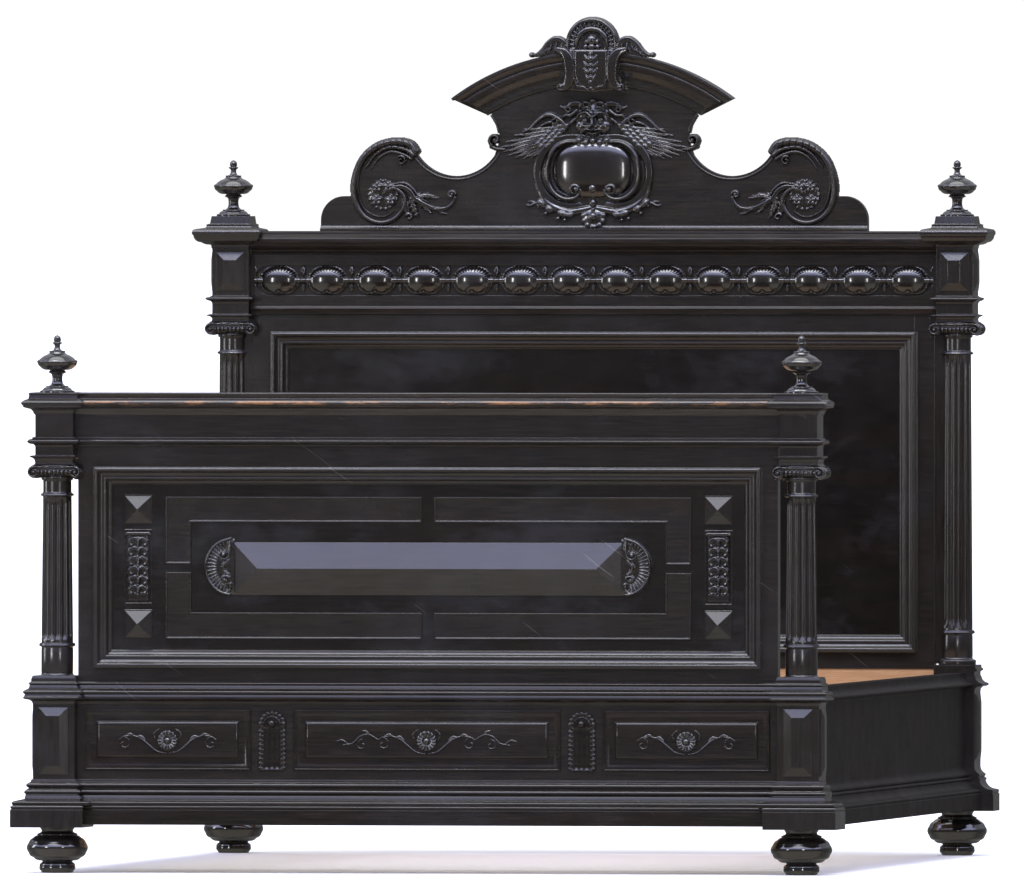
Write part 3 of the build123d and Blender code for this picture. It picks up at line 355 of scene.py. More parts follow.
class Relief:
    """A carving as heights in mm over a grid in X and Z, built up from strokes and domes.

    Widths and heights given for a stroke or a groove are spread along it."""

    def __init__(self, x_range, z_range, step=1.3):
        self.step = step
        self.x0, self.z0 = x_range[0], z_range[0]
        self.nx = int((x_range[1] - x_range[0]) / step) + 2
        self.nz = int((z_range[1] - z_range[0]) / step) + 2
        self.x = self.x0 + step * np.arange(self.nx)
        self.z = self.z0 + step * np.arange(self.nz)
        self.h = np.full((self.nx, self.nz), -1.0)
        self.side = 1

    def both(self):
        """A loop over this draws what is in it twice, the first time mirrored in x = 0."""
        for self.side in BOTH:
            yield

    def window(self, x, z, reach):
        """The rows and columns of the grid within reach of a place."""
        i0 = max(0, int((x - reach - self.x0) / self.step))
        i1 = min(self.nx, int((x + reach - self.x0) / self.step) + 2)
        j0 = max(0, int((z - reach - self.z0) / self.step))
        j1 = min(self.nz, int((z + reach - self.z0) / self.step) + 2)
        return slice(i0, i1), slice(j0, j1)

    def raise_to(self, rows, columns, r, lift):
        """Raises the carving to lift where r is under 1."""
        there = self.h[rows, columns]
        self.h[rows, columns] = np.where(r < 1, np.maximum(there, lift), there)

    def dome(self, x, z, across, up, height, base=0.0, turn=0.0, flat=0.5, square=2.0):
        """An oval dome. flat is the power of its falloff: small is flat-topped."""
        x = self.side * x
        rows, columns = self.window(x, z, max(across, up))
        gx, gz = np.meshgrid(self.x[rows] - x, self.z[columns] - z, indexing="ij")
        c, s = math.cos(math.radians(turn)), math.sin(math.radians(turn))
        r = np.abs((gx * c + gz * s) / across) ** square + np.abs((gz * c - gx * s) / up) ** square
        lift = base + height * np.clip(1 - r, 0, 1) ** flat
        self.raise_to(rows, columns, r, lift)

    def area(self, points, height, edge=2.0):
        """A flat area inside a closed outline, with a rounded edge."""
        points = np.asarray(points, float)
        gx, gz = np.meshgrid(self.x, self.z, indexing="ij")
        inside = np.zeros(gx.shape, bool)
        near = np.full(gx.shape, 1e9)
        for (ax, az), (bx, bz) in zip(points, np.roll(points, -1, axis=0)):
            crosses = (az > gz) != (bz > gz)
            with np.errstate(divide="ignore", invalid="ignore"):
                at = (bx - ax) * (gz - az) / (bz - az) + ax
            inside ^= crosses & (gx < at)
            length = max((bx - ax) ** 2 + (bz - az) ** 2, 1e-9)
            t = np.clip(((gx - ax) * (bx - ax) + (gz - az) * (bz - az)) / length, 0, 1)
            near = np.minimum(near, np.hypot(gx - ax - t * (bx - ax), gz - az - t * (bz - az)))
        share = np.clip(near / edge, 0, 1)
        lift = height * (0.35 + 0.65 * np.sqrt(1 - (1 - share) ** 2))
        self.h = np.where(inside, np.maximum(self.h, lift), self.h)

    def discs(self, points, widths, heights):
        """Along a curve: the rows and columns near each point, how far out they lie and its height."""
        points = np.asarray(points, float) * (self.side, 1)
        share = np.linspace(0, 1, len(points))
        columns = []
        for values in (widths, heights):
            columns.append(np.interp(share, np.linspace(0, 1, len(values)), values))
        rows = smooth_line(np.column_stack([points, *columns]), max(self.step * 0.7, 0.6))
        for x, z, width, height in rows:
            if width > 0.2:
                a, b = self.window(x, z, width)
                gx, gz = np.meshgrid(self.x[a] - x, self.z[b] - z, indexing="ij")
                yield a, b, (gx**2 + gz**2) / width**2, height

    def stroke(self, points, widths, heights, base=0.0, hollow=0.0):
        """A rounded ridge along a curve. hollow lowers its crest into a channel."""
        for a, b, r, height in self.discs(points, widths, heights):
            lift = base + height * np.sqrt(np.clip(1 - r, 0, 1))
            if hollow:
                lift = lift - hollow * height * np.clip(1 - 2.2 * r, 0, 1)
            self.raise_to(a, b, r, lift)

    def groove(self, points, widths, depths):
        """A rounded groove along a curve, cut into what is there."""
        cut = np.zeros(self.h.shape)
        for a, b, r, depth in self.discs(points, widths, depths):
            cut[a, b] = np.maximum(cut[a, b], depth * np.clip(1 - r, 0, 1))
        self.h = np.where(self.h > 0, np.maximum(self.h - cut, 0.3), self.h)

    def part(self, face_y, back=1.0):
        """(verts, faces) of the carving in front of face_y, closed by a back behind it."""
        mask = self.h > 0.15
        grown = mask.copy()
        for axis in (0, 1):
            for shift in (-1, 1):
                grown |= np.roll(mask, shift, axis)
        cells = grown[:-1, :-1] & grown[1:, :-1] & grown[1:, 1:] & grown[:-1, 1:]
        used = np.zeros(grown.shape, bool)
        for rows in (slice(None, -1), slice(1, None)):
            for columns in (slice(None, -1), slice(1, None)):
                used[rows, columns] |= cells
        index = np.full(grown.shape, -1)
        index[used] = np.arange(used.sum())
        gx, gz = np.meshgrid(self.x, self.z, indexing="ij")
        lift = np.where(mask, self.h, -0.2)[used]
        front = np.column_stack([gx[used], face_y - lift, gz[used]])
        rear = np.column_stack([gx[used], np.full(len(lift), face_y + back), gz[used]])
        count = len(lift)
        i, j = np.nonzero(cells)
        quads = np.column_stack([index[i, j], index[i + 1, j], index[i + 1, j + 1], index[i, j + 1]])
        faces = quads.tolist() + (quads[:, ::-1] + count).tolist()
        edges = {}
        for quad in quads.tolist():
            for a, b in zip(quad, quad[1:] + quad[:1]):
                if edges.pop((b, a), None) is None:
                    edges[(a, b)] = True
        faces += [(b, a, a + count, b + count) for a, b in edges]
        return np.concatenate([front, rear]), faces


def arc(x, z, radius, start, end, count=12, end_radius=None):
    """Points on an arc or spiral, angles in degrees from +X towards +Z."""
    share = np.linspace(0, 1, count)
    radii = radius + ((radius if end_radius is None else end_radius) - radius) * share
    turns = np.radians(start + (end - start) * share)
    return np.column_stack([x + radii * np.cos(turns), z + radii * np.sin(turns)])


def flower(relief, x, z, radius, height, base):
    """A small round flower with five cupped petals and a button."""
    for count in range(5):
        turn = 2 * math.pi * count / 5 + 0.3
        px, pz = x + 0.56 * radius * math.cos(turn), z + 0.56 * radius * math.sin(turn)
        relief.dome(px, pz, radius * 0.46, radius * 0.40, height * 0.75, base, math.degrees(turn))
    relief.dome(x, z, radius * 0.3, radius * 0.3, height, base + 0.2 * height)


def leaf(relief, spine, width, height, lobes):
    """A carved leaf: a spine with side lobes that shrink towards its tip, and a vein."""
    line = smooth_line(spine, 2.0)
    relief.stroke(spine, [width * 0.35, width * 0.42, width * 0.12], [height, height * 0.9, height * 0.5])
    for count in range(lobes):
        share = 0.12 + 0.72 * count / max(lobes - 1, 1)
        at = int(share * (len(line) - 2))
        x, z = line[at]
        dx, dz = line[at + 1] - line[at]
        heading = math.atan2(dz, dx)
        reach = width * (1.0 - 0.62 * share)
        for side in BOTH:
            lean = heading + side * math.radians(48)
            bend = lean + side * 0.3
            tip = (x + reach * math.cos(lean), z + reach * math.sin(lean))
            mid = (x + reach * 0.5 * math.cos(bend), z + reach * 0.5 * math.sin(bend))
            relief.stroke([(x, z), mid, tip], [reach * 0.2, reach * 0.24, reach * 0.06],
                [height * 0.7, height * 0.85, height * 0.35])
    relief.groove(spine, [width * 0.07, width * 0.05], [height * 0.35, height * 0.15])


def trayed(outline, steps, face_y, filled=True):
    """A moulded border that runs round an outline of square corners, with its field if filled.

    The outline is (x, z) rows and the steps are (distance in from it, height in front of face_y)."""
    points = np.asarray(outline, float)
    after = np.roll(points, -1, axis=0)
    if np.sum(points[:, 0] * after[:, 1] - after[:, 0] * points[:, 1]) < 0:
        points = points[::-1]
        after = np.roll(points, -1, axis=0)
    along = (after - points) / np.linalg.norm(after - points, axis=1)[:, None]
    inward = np.column_stack([-along[:, 1], along[:, 0]])
    corner = inward + np.roll(inward, 1, axis=0)
    rings = [(0, -1.5), *steps] + ([] if filled else [(steps[-1][0], -1.5)])
    verts = [(x, face_y - rise, z) for inset, rise in rings for x, z in points + inset * corner]
    return verts, skin(len(rings), len(points), "capped" if filled else "joined")


def box_outline(x0, x1, z0, z1):
    """The corners of a rectangle."""
    return [(x0, z0), (x1, z0), (x1, z1), (x0, z1)]


def run_across(half, outline):
    """A closed (y, z) outline drawn out along X to both sides of the middle."""
    return [(side * half, y, z) for side in BOTH for y, z in outline], skin(2, len(outline))


def post_moulding(x, y, half, steps, back):
    """A moulding that runs round the front and both sides of a square post, as far back as y + back."""
    rows = bulged(steps, 11)
    verts = []
    for reach, z in rows:
        r = half + reach
        verts += [(x - r, y - r, z), (x + r, y - r, z), (x + r, y + back, z), (x - r, y + back, z)]
    return verts, skin(len(rows), 4)


def rail_moulding(half, face_y, back_y, steps, bends=11, scale=1.0):
    """A moulding on the front of a rail, from (reach, height, bulge) steps."""
    rows = [(face_y - reach * scale, z) for reach, z in bulged(steps, bends)]
    return run_across(half, [*rows, (back_y, rows[-1][1]), (back_y, rows[0][1])])


# Turned work ------------------------------------------------------------------------------------

FOOT_STEPS = [(3, 0, 0), (28, 0, 0), (34, 4, 0.25), (37, 13, 0.2), (33, 21, 0.2), (31, 23, 0),
    (36, 25, -0.2), (50, 32, 0.12), (60, 42, 0.16), (60, 62, 0.2), (50, 73, 0.12), (41, 78, 0.1),
    (42, 81, 0.3), (35, 84, 0), (33, 88, -0.2), (37, 95, 0)]
FINIAL_STEPS = [(36, -1, 0), (36, 2, 0), (34.5, 4, 0.3), (31, 5, 0), (24, 11, 0.12), (23, 12, 0),
    (22, 14, 0.4), (15, 16, -0.2), (11.5, 21, -0.1), (11, 34, -0.05), (13, 39, -0.1), (17, 41, 0),
    (17.5, 44, 0.5), (15, 46, 0), (22, 47, -0.1), (36, 54, 0.12), (41, 62, 0.14), (41, 66.5, 0.3),
    (38, 68, 0.2), (22, 79, 0.07), (16, 84, -0.1), (15, 87, 0.5), (8, 89, -0.1), (6.5, 92, 0),
    (6.5, 100, -0.1), (9, 102, 0), (9, 105, 0.5), (6, 106, 0), (7.5, 111, 0.2), (4, 118, 0.15),
    (0.2, 120, 0)]


def feet_of(y):
    """The pair of bun feet of the board at y."""
    return joined([lathe(side * POST_X, y, bulged(FOOT_STEPS), 64) for side in BOTH])


def finials_of(y, base):
    """The pair of finials of the board at y, standing at a height."""
    steps = [(r, z + base, b) for r, z, b in FINIAL_STEPS]
    return joined([lathe(side * POST_X, y, bulged(steps), 64) for side in BOTH])


FLUTES, FLUTE_DEPTH, FLUTE_STOP = 14, 4.3, 7.0


def column_part(x, y, base, low, high, top):
    """A column at x, y from base to top, fluted between low and high."""
    steps = [(38, base, 0), (40, base + 5, 0.3), (38, base + 11, 0.3), (35, base + 12, 0),
        (33.5, base + 18, -0.2), (33.2, low - 8, 0), (34, low - 4, -0.2), (37, low - 3, 0),
        (37.5, low, 0.3), (37, low + 3, 0), (33, low + 4, 0)]
    rows = bulged(steps, 5)
    rows += [(33 - 3.2 * t, low + 4 + (high - low - 8) * t) for t in np.linspace(0.01, 1, 64)]
    rows += bulged([(30, high - 4, 0), (33.5, high - 3, 0), (34, high, 0.4), (33.5, high + 2, 0),
        (30, high + 4, -0.2)], 5)
    rows += [(29.5, z) for z in np.linspace(high + 5, top - 6, 12)]
    rows += bulged([(30, top - 5, 0), (33, top - 3, 0.4), (33, top + 1, 0)], 4)

    def fluted(z, angles):
        """How deep the flutes are at a height, round the column."""
        if not low + 12 < z < high - 10:
            return 0 * angles
        end = min(z - low - 12, high - 10 - z, FLUTE_STOP) / FLUTE_STOP
        pitch = 2 * math.pi / FLUTES
        off = np.abs((angles + pitch / 2) % pitch - pitch / 2) / (pitch * 0.42)
        return FLUTE_DEPTH * math.sqrt(1 - (1 - end) ** 2) * np.sqrt(np.clip(1 - off**2, 0, 1))

    return lathe(x, y, rows, FLUTES * 14, fluted)


def slab(x, y, z, bevel):
    """A box between two x, y and z values with chamfered edges."""
    made = bmesh.new()
    bmesh.ops.create_cube(made, size=1)
    for vert in made.verts:
        vert.co = [low + (high - low) * (c + 0.5) for c, (low, high) in zip(vert.co, (x, y, z))]
    bmesh.ops.bevel(made, geom=made.edges[:], offset=bevel, segments=2, affect="EDGES")
    verts = [tuple(vert.co) for vert in made.verts]
    faces = [[vert.index for vert in face.verts] for face in made.faces]
    made.free()
    return verts, faces


def capital_part(x, y, z, height):
    """An Ionic capital: scrolled volutes front and back, bolsters, eggs and a moulded abacus."""
    top = z + height
    face = Relief((-58, 58), (z - 6, top + 1), 0.7)
    face.area([(-46, top - 11), (46, top - 11), (46, top), (-46, top)], 3.0, 1.0)
    eye = z + height * 0.43
    for _ in face.both():
        face.dome(43, eye, 12, 12, 2.5, 1.0, flat=0.3)
        face.stroke(arc(43, eye, 11.5, 90, -410, 36, 3.0), [3.2, 1.8], [9.5, 7.5])
        face.dome(43, eye, 3.4, 3.4, 5.0, 4.5)
    face.stroke([(-43, top - 2.6), (0, top - 4.4), (43, top - 2.6)], [2.6, 2.4, 2.6], [7.5, 6.0, 7.5])
    for count in range(-3, 4):
        x_egg, x_dart = 8.6 * count, 8.6 * count + 4.3
        face.dome(x_egg, z + height * 0.44, 3.4, 6.4, 6.5, 1.0)
        face.stroke([(x_dart, z + height * 0.62), (x_dart, z + height * 0.22)], [0.9], [4.5])
    verts, faces = face.part(-36, 6)
    parts = [(verts, faces), (verts * (1, -1, 1), [loop[::-1] for loop in faces])]
    waist = [(10.5, -33, 0), (10.5, -26, 0), (8.6, -8, -0.05), (10, -4, 0.3), (10, 4, 0.4), (8.6, 8, 0.3),
        (10.5, 26, -0.05), (10.5, 33, 0)]
    turned, loops = lathe(0, 0, bulged(waist, 5), 32)
    for side in BOTH:
        parts.append((turned[:, [0, 2, 1]] + (side * 43, 0, eye), loops))
    parts.append(slab((-42, 42), (-34, 34), (z + height * 0.3, top - 3), 1.5))
    parts.append(slab((-45, 45), (-38, 38), (top - 3, top + 1.6), 1.2))
    parts.append(slab((-41, 41), (-40, 40), (top + 1.2, top + 4.9), 0.8))
    neck = [(31, z - 1, 0), (33, z + 2, 0.4), (31, z + 4, 0), (38, z + 12, 0.2), (38, top - 4, 0)]
    parts.append(lathe(0, 0, bulged(neck), 48))
    return moved(joined(parts), (x, y, 0))


for board, y, low, high, top, tall, base, cap in (
    ("footboard", FOOT_Y, 475, 788, 823, 26, 400, 1000),
    ("headboard", HEAD_Y, 477, 1073, 1111, 27, 407, 1365),
):
    new_piece(f"{board}_bun_feet", feet_of(y), POLISHED, f"{board}_feet")
    new_piece(f"{board}_turned_finials", finials_of(y, cap), POLISHED, f"{board}_finials")
    for side, name in SIDES:
        part = column_part(side * POST_X, y, base, low, high, top)
        new_piece(f"{board}_fluted_column_{name}", part, UPRIGHT, f"{board}_column_{name}", 50)
    part = joined([capital_part(side * POST_X, y, top, tall) for side in BOTH])
    new_piece(f"{board}_ionic_capitals", part, CARVED, f"{board}_capitals")


# Egg moulding on the headboard ------------------------------------------------------------------

EGGS, EGG_PITCH, EGG_Z = 14, 105, 1227.5
head_face = HEAD_Y - 17.5
channel_face = head_face + 4.6
egg = Relief((-53, 53), (-33, 33), 0.9)
egg.dome(0, 0, 42.5, 31.5, 3.0, 3.0, flat=0.2, square=2.4)
for _ in egg.both():
    egg.stroke([(41, -14), (43.5, 0), (41, 14)], [2.0], [9])
egg.dome(0, 0, 39, 30.5, 15.5, 3.0, flat=0.55, square=2.25)
for count in range(13):
    turn = math.radians(20 + 140 * count / 12)
    c, s = math.cos(turn), math.sin(turn)
    egg.groove([(28 * c, 17.5 * s + 1), (39 * c, 29.5 * s)], [0.5, 2.0], [0.8, 6.5])
for _ in egg.both():
    egg.groove([(1.5, -20), (8, -26), (19, -25), (27, -17)], [1.6, 1.9, 1.9, 1.0], [4.5, 5, 5, 3])
    egg.stroke([(2, -22.5), (9, -27.5), (18, -26)], [1.4, 2.4, 1.2], [9, 9, 7])
    egg.stroke([(36, 0), (53, 0)], [7.2], [10.5])
    egg.groove([(47, -7), (47, 7)], [0.9], [2.0])
    egg.stroke([(52.5, 11), (50, 18), (50.5, 24), (52.5, 28)], [2.0, 3.0, 3.4, 4.0], [6, 8, 7, 6])
    egg.stroke([(53, -9), (51, -15), (52.5, -25)], [3.0, 3.4, 1.2], [6, 6, 3])
one_egg = egg.part(0.0, 0.6)
middle = (EGGS - 1) / 2
eggs = joined([moved(one_egg, ((count - middle) * EGG_PITCH, channel_face, EGG_Z)) for count in range(EGGS)])
new_piece("headboard_egg_and_dart", eggs, CARVED, "headboard_egg_moulding", 40)


# Crest ornament, drawn for the right half and mirrored ------------------------------------------

CREST_FACE = HEAD_Y - 11

scroll = Relief((192, 535), (1340, 1585), 1.25)
band = [(387, 1504), (399, 1519), (430, 1525), (470, 1515), (502, 1487), (519, 1445), (520, 1408),
    (509, 1378), (489, 1359), (463, 1351), (437, 1357), (418, 1374), (409, 1396), (415, 1413), (430, 1424),
    (446, 1422), (453, 1415)]
scroll.stroke(band, [9, 8.5, 7.5, 6.5, 6, 5.5, 5], [15, 13, 10, 9, 8.5, 9, 10])
scroll.stroke([(390, 1496), (408, 1508), (440, 1513), (470, 1500), (495, 1470)], [6, 5, 3], [14, 11, 6])
scroll.stroke([(396, 1488), (412, 1497), (440, 1503), (466, 1490), (485, 1465)], [5, 4.5, 2], [12, 9, 4])
scroll.stroke([(506, 1470), (512, 1430), (502, 1388), (480, 1368), (455, 1364), (435, 1375)], [2.2, 2.0],
    [5, 5])
scroll.stroke(arc(417, 1484, 10, 60, 470, 18, 2.5), [3.8, 2.2], [11, 12])
for x, z in arc(432, 1430, 98, 118, 50, 9):
    scroll.groove([(x - 5, z - 16), (x + 1, z + 4)], [1.6, 2.2], [2.4, 3.0])
scroll.stroke(arc(299, 1552, 108, 206, 333, 30), [2.6], [3.6])
scroll.stroke([(206, 1545), (211, 1562), (222, 1580)], [2.6], [3.6])
scroll.stroke(arc(214, 1528, 13, -60, 330, 18, 3.0), [4.5, 3.0], [12, 13])
scroll.dome(214, 1528, 4, 4, 5, 9)
scroll.stroke([(222, 1514), (208, 1509), (190, 1508)], [5, 5, 3], [10, 10, 6])
new_piece("crest_volutes", both_sides(scroll.part(CREST_FACE, 21)), CREST, "crest_scrolls", 60)

spray = Relief((285, 500), (1346, 1450), 1.1)
spray.dome(457, 1411, 33, 32, 3.5, 1.0, flat=0.3)
for x, z in arc(457, 1411, 31, 0, 340, 18):
    spray.dome(x, z, 3.6, 3.6, 4.5, 1.5)
for x, z in ((470, 1427), (471, 1399), (441, 1399), (446, 1428)):
    flower(spray, x, z, 12.5, 8.5, 3.5)
stem = [(453, 1415), (440, 1424), (418, 1428), (400, 1419), (387, 1402), (368, 1391), (345, 1381),
    (322, 1381), (307, 1391), (301, 1405)]
spray.stroke(stem, [4.5, 6, 5, 3.5], [11, 12, 10, 9], hollow=0.25)
spray.stroke([(436, 1434), (410, 1436), (392, 1424), (378, 1406), (358, 1394)], [2, 3.6, 3, 1.5],
    [7, 10, 8, 5])
spray.stroke(arc(308, 1411, 9, 170, -150, 14, 3), [3.8, 3.0], [10, 11])
spray.dome(307, 1412, 3.6, 3.6, 5, 7)
leaf(spray, [(384, 1404), (364, 1409), (336, 1404)], 14, 8, 3)
leaf(spray, [(397, 1402), (390, 1381), (380, 1360)], 15, 8, 4)
leaf(spray, [(372, 1393), (362, 1379), (350, 1371)], 12, 7, 3)
leaf(spray, [(345, 1384), (330, 1372), (318, 1371)], 10, 6, 2)
spray.stroke([(412, 1412), (409, 1392), (404, 1372)], [4, 7, 6], [6, 8, 9], hollow=0.4)
spray.stroke(arc(400, 1363, 8, 30, 300, 12, 3), [3.6, 3.0], [9, 10])
new_piece("crest_flower_sprays", both_sides(spray.part(CREST_FACE)), CARVED, "crest_foliage", 60)

wing = Relief((40, 212), (1478, 1594), 1.1)
starts = smooth_line([(56, 1560), (66, 1546), (84, 1528), (104, 1508)], 1.0)
tips = [(152, 1551), (172, 1538), (190, 1524), (203, 1512), (200, 1502), (186, 1495), (170, 1490),
    (153, 1488), (136, 1490), (120, 1495)]
for count, tip in enumerate(tips):
    x, z = starts[int((len(starts) - 1) * count / (len(tips) - 1))]
    bend = ((x + tip[0]) / 2 + 3, (z + tip[1]) / 2 - 4 + 1.2 * count * 0.4)
    wing.stroke([(x, z), bend, tip], [5.0, 6.2, 1.6], [11 - 0.3 * count, 9 - 0.3 * count, 4.0])
    wing.groove([(x, z), bend, tip], [0.9, 1.0, 0.4], [3.0, 2.6, 1.0])
for row in range(3):
    for count in range(6):
        x, z = starts[int((len(starts) - 1) * (count + 0.4 * (row % 2)) / 6.2)]
        wing.dome(x + 11 * row + 4, z + 2 * row - 2, 9, 5, 4.0, 9.0 - row, -28)
wing.stroke([(58, 1556), (68, 1568), (86, 1580), (104, 1581), (122, 1569), (140, 1552), (154, 1545)],
    [6, 7, 6, 4, 2], [14, 14, 12, 8, 4])
wing.stroke([(72, 1556), (92, 1566), (112, 1560), (130, 1546)], [4, 5, 3, 1.5], [11, 10, 8, 4])
wing.stroke(arc(85, 1569, 8, 120, 480, 14, 2.5), [3.6, 2.6], [14, 15])
new_piece("crest_feathered_wings", both_sides(wing.part(CREST_FACE)), CARVED, "crest_wings", 60)

mask = Relief((-80, 80), (1524, 1622), 1.0)
mask.dome(0, 1573, 40, 38, 13, 1.0, flat=0.45)
for _ in mask.both():
    mask.dome(22, 1558, 17, 15, 11, 7.0)
    mask.stroke([(3, 1578), (14, 1587), (30, 1583), (37, 1573)], [4.5, 5.5, 4, 2], [25, 23, 18, 13])
    start, end = 90 - 90 * mask.side, 90 + 270 * mask.side  # both rings start on their right
    mask.groove(arc(17, 1570, 8.5, start, end, 16), [2.2], [4.5])
    mask.dome(17, 1570, 6.5, 5.2, 7, 14)
    mask.groove(arc(17, 1570, 2.2, start, end, 8), [1.0], [2.5])
    mask.dome(7, 1557, 5, 4, 6, 16)
    mask.stroke([(4, 1549), (14, 1551), (25, 1545), (33, 1549)], [3, 4.2, 3.4, 1.5], [20, 18, 14, 9])
    mask.stroke([(22, 1600), (34, 1606), (48, 1605), (60, 1597), (72, 1600)], [5, 6.5, 6, 4.5, 2.5],
        [12, 14, 13, 10, 7], hollow=0.2)
    mask.stroke(arc(53, 1594, 8, 90, -240, 14, 3), [3.6, 2.6], [12, 12])
    mask.stroke([(36, 1592), (48, 1582), (62, 1580), (70, 1572)], [5, 5.5, 4.5, 2], [11, 12, 9, 5])
    mask.stroke([(38, 1574), (48, 1566), (58, 1558)], [5, 5, 2], [10, 9, 5])
    mask.stroke([(5, 1606), (16, 1609), (27, 1602), (31, 1594)], [4, 5, 4, 2], [16, 16, 13, 10])
    mask.stroke([(6, 1597), (16, 1598), (25, 1592)], [3.4, 4.2, 2], [18, 17, 14])
    for count in range(3):
        mask.stroke([(5 + 9 * count, 1540), (7 + 11 * count, 1533 + 1.5 * count),
            (5 + 12 * count, 1527 + 3 * count)], [3, 3.6, 1.4], [13, 11, 6])
mask.stroke([(0, 1590), (0, 1574), (0, 1562)], [3, 4, 6.5], [20, 25, 29])
mask.dome(0, 1612, 9, 7, 13, 3)
mask.stroke([(-11, 1544), (0, 1541), (11, 1544)], [2.2, 3.4, 2.2], [15, 20, 15])
mask.groove([(-16, 1547.5), (0, 1545.5), (16, 1547.5)], [1.4], [6])
mask.stroke([(0, 1540), (0, 1532), (0, 1527)], [4, 4.5, 2], [15, 12, 6])
new_piece("crest_grotesque_mask", mask.part(CREST_FACE), CARVED, "crest_mask", 60)

shield = Relief((0, 150), (1340, 1540), 1.1)
shield.dome(0, 1456, 118, 78, 5, 1.5, flat=0.25)
shield.dome(0, 1464, 82, 60, 15, 7.0, flat=0.42, square=2.7)
shield.stroke([(0, 1531), (26, 1534), (58, 1533), (88, 1521), (110, 1498), (121, 1466), (117, 1434),
    (101, 1408), (78, 1392), (52, 1387), (30, 1390)], [5, 8, 10, 10, 9, 9, 8, 6],
    [12, 15, 16, 15, 15, 14, 12, 8], hollow=0.3)
shield.stroke([(12, 1520), (44, 1525), (70, 1519), (90, 1500), (99, 1470), (97, 1440), (85, 1417),
    (66, 1404), (48, 1402), (33, 1408), (26, 1420)], [4, 6, 7, 7.5, 7, 6], [15, 20, 22, 22, 21, 20])
shield.groove([(44, 1516), (64, 1511), (80, 1495), (87, 1470), (85, 1444), (75, 1425), (60, 1414)], [1.6],
    [6])
shield.stroke(arc(37, 1423, 11, -60, 330, 20, 3), [5, 3.6], [22, 24])
shield.dome(37, 1423, 4.6, 4.6, 6, 20)
shield.stroke([(122, 1452), (120, 1424), (106, 1400), (84, 1383), (54, 1374), (24, 1378), (0, 1384)],
    [2.5, 7, 10, 11, 9, 7], [7, 10, 12, 12, 10, 8])
for x, z, across, turn in ((112, 1392, 13, 48), (95, 1380, 11, 42), (66, 1370, 14, 24), (50, 1368, 9, 20)):
    shield.dome(x, z, across, 8, 9, 6, turn)
for x, z, r in ((118, 1387, 5), (103, 1371, 5), (76, 1360, 5.5), (62, 1357, 4.5)):
    shield.dome(x, z, r, r, 7, 4)
shield.stroke([(112, 1396), (126, 1393), (137, 1388), (146, 1389)], [5, 3.4, 3.6, 1.6], [9, 7, 7, 4])
shield.stroke([(124, 1391), (132, 1396), (142, 1396)], [2.4, 3.0, 1.4], [6, 6, 3])
shield.dome(0, 1362, 27, 19, 8, 4, flat=0.4)
for x, z in arc(0, 1364, 22, -84, 6, 4):
    shield.dome(x, z, 6.5, 6.5, 7, 5)
shield.stroke([(0, 1440), (0, 1400), (0, 1352)], [9, 11, 9], [9, 8, 6])
for z, r in ((1424, 10), (1407, 5.5), (1393, 9), (1379, 5), (1364, 10.5)):
    shield.dome(0, z, r * 0.85, r, r * 0.9, 14 if z > 1415 else 9)
for x, z in ((0, 1526), (15, 1523), (30, 1527)):
    shield.dome(x, z, 7.5, 7.5, 9, 12)
    shield.dome(x, z - 9, 4, 4, 6, 12)
new_piece("crest_scrolled_cartouche", both_sides(shield.part(CREST_FACE)), CARVED, "crest_cartouche", 60)

key = Relief((0, 78), (1624, 1726), 0.9)
key.area([(-4, 1722), (71, 1722), (61, 1704), (56, 1680), (60, 1652), (64, 1636), (-4, 1630)], 4.0, 4)
key.area([(-4, 1722), (37, 1722), (37, 1668), (31, 1648), (16, 1640), (-4, 1636)], 10.0, 5)
key.stroke([(72, 1721), (57, 1714), (48, 1698), (45, 1672), (49, 1650), (60, 1640)], [7, 12, 14, 13, 9],
    [12, 17, 18, 17, 14], hollow=0.3)
key.stroke(arc(65, 1642, 7, -100, 270, 14, 2.5), [4.2, 3.0], [14, 15])
key.dome(65, 1642, 3, 3, 5, 13)
key.stroke([(36, 1660), (29, 1645), (15, 1641), (6, 1636), (0, 1640)], [2.4, 2.2], [13, 12])
for z, r in ((1712, 5), (1701, 6.5), (1688, 4.5), (1676, 6), (1662, 4.5), (1652, 5)):
    key.dome(0, z, r * 0.8, r * 1.1, r, 10)
for z, reach in ((1704, 13), (1690, 15), (1676, 14), (1662, 10)):
    key.stroke([(3, z - 5), (reach * 0.6, z - 2), (reach, z + 5)], [2.0, 4.0, 1.6], [12, 14.5, 12])
new_piece("crest_carved_keystone", both_sides(key.part(CREST_FACE - 32, 42)), CARVED, "crest_keystone", 60)

fan = Relief((0, 62), (1690, 1794), 0.9)
fan.dome(0, 1733, 56, 57, 3, 2.0, flat=0.15)
fan.stroke(arc(0, 1734, 51.5, -44, 96, 28), [6.0], [15], base=1.5)
fan.dome(0, 1734, 46.5, 46.5, 5, 4.0, flat=0.2)
for count in range(11):
    turn = math.radians(-26 + 12 * count)
    c, s = math.cos(turn), math.sin(turn)
    fan.stroke([(34 * c, 1733 + 34 * s), (45 * c, 1734 + 45 * s)], [2.2, 4.4], [7, 9.5], base=3.0)
fan.stroke([(31, 1722), (33.5, 1735), (27, 1752), (14, 1763), (0, 1766)], [3.5, 6.5, 8.5, 9, 9],
    [12, 16, 17.5, 18, 18])
fan.dome(0, 1738, 26, 22, -6, 9.0, flat=0.5)
fan.stroke([(54, 1716), (52, 1703), (44, 1699), (35, 1703), (34, 1712), (41, 1715)], [5.5, 5, 4, 3.4],
    [14, 15, 16, 16])
fan.stroke([(12, 1724), (20, 1716), (30, 1712), (36, 1704)], [4, 5, 4.4, 3], [15, 16, 15, 12])
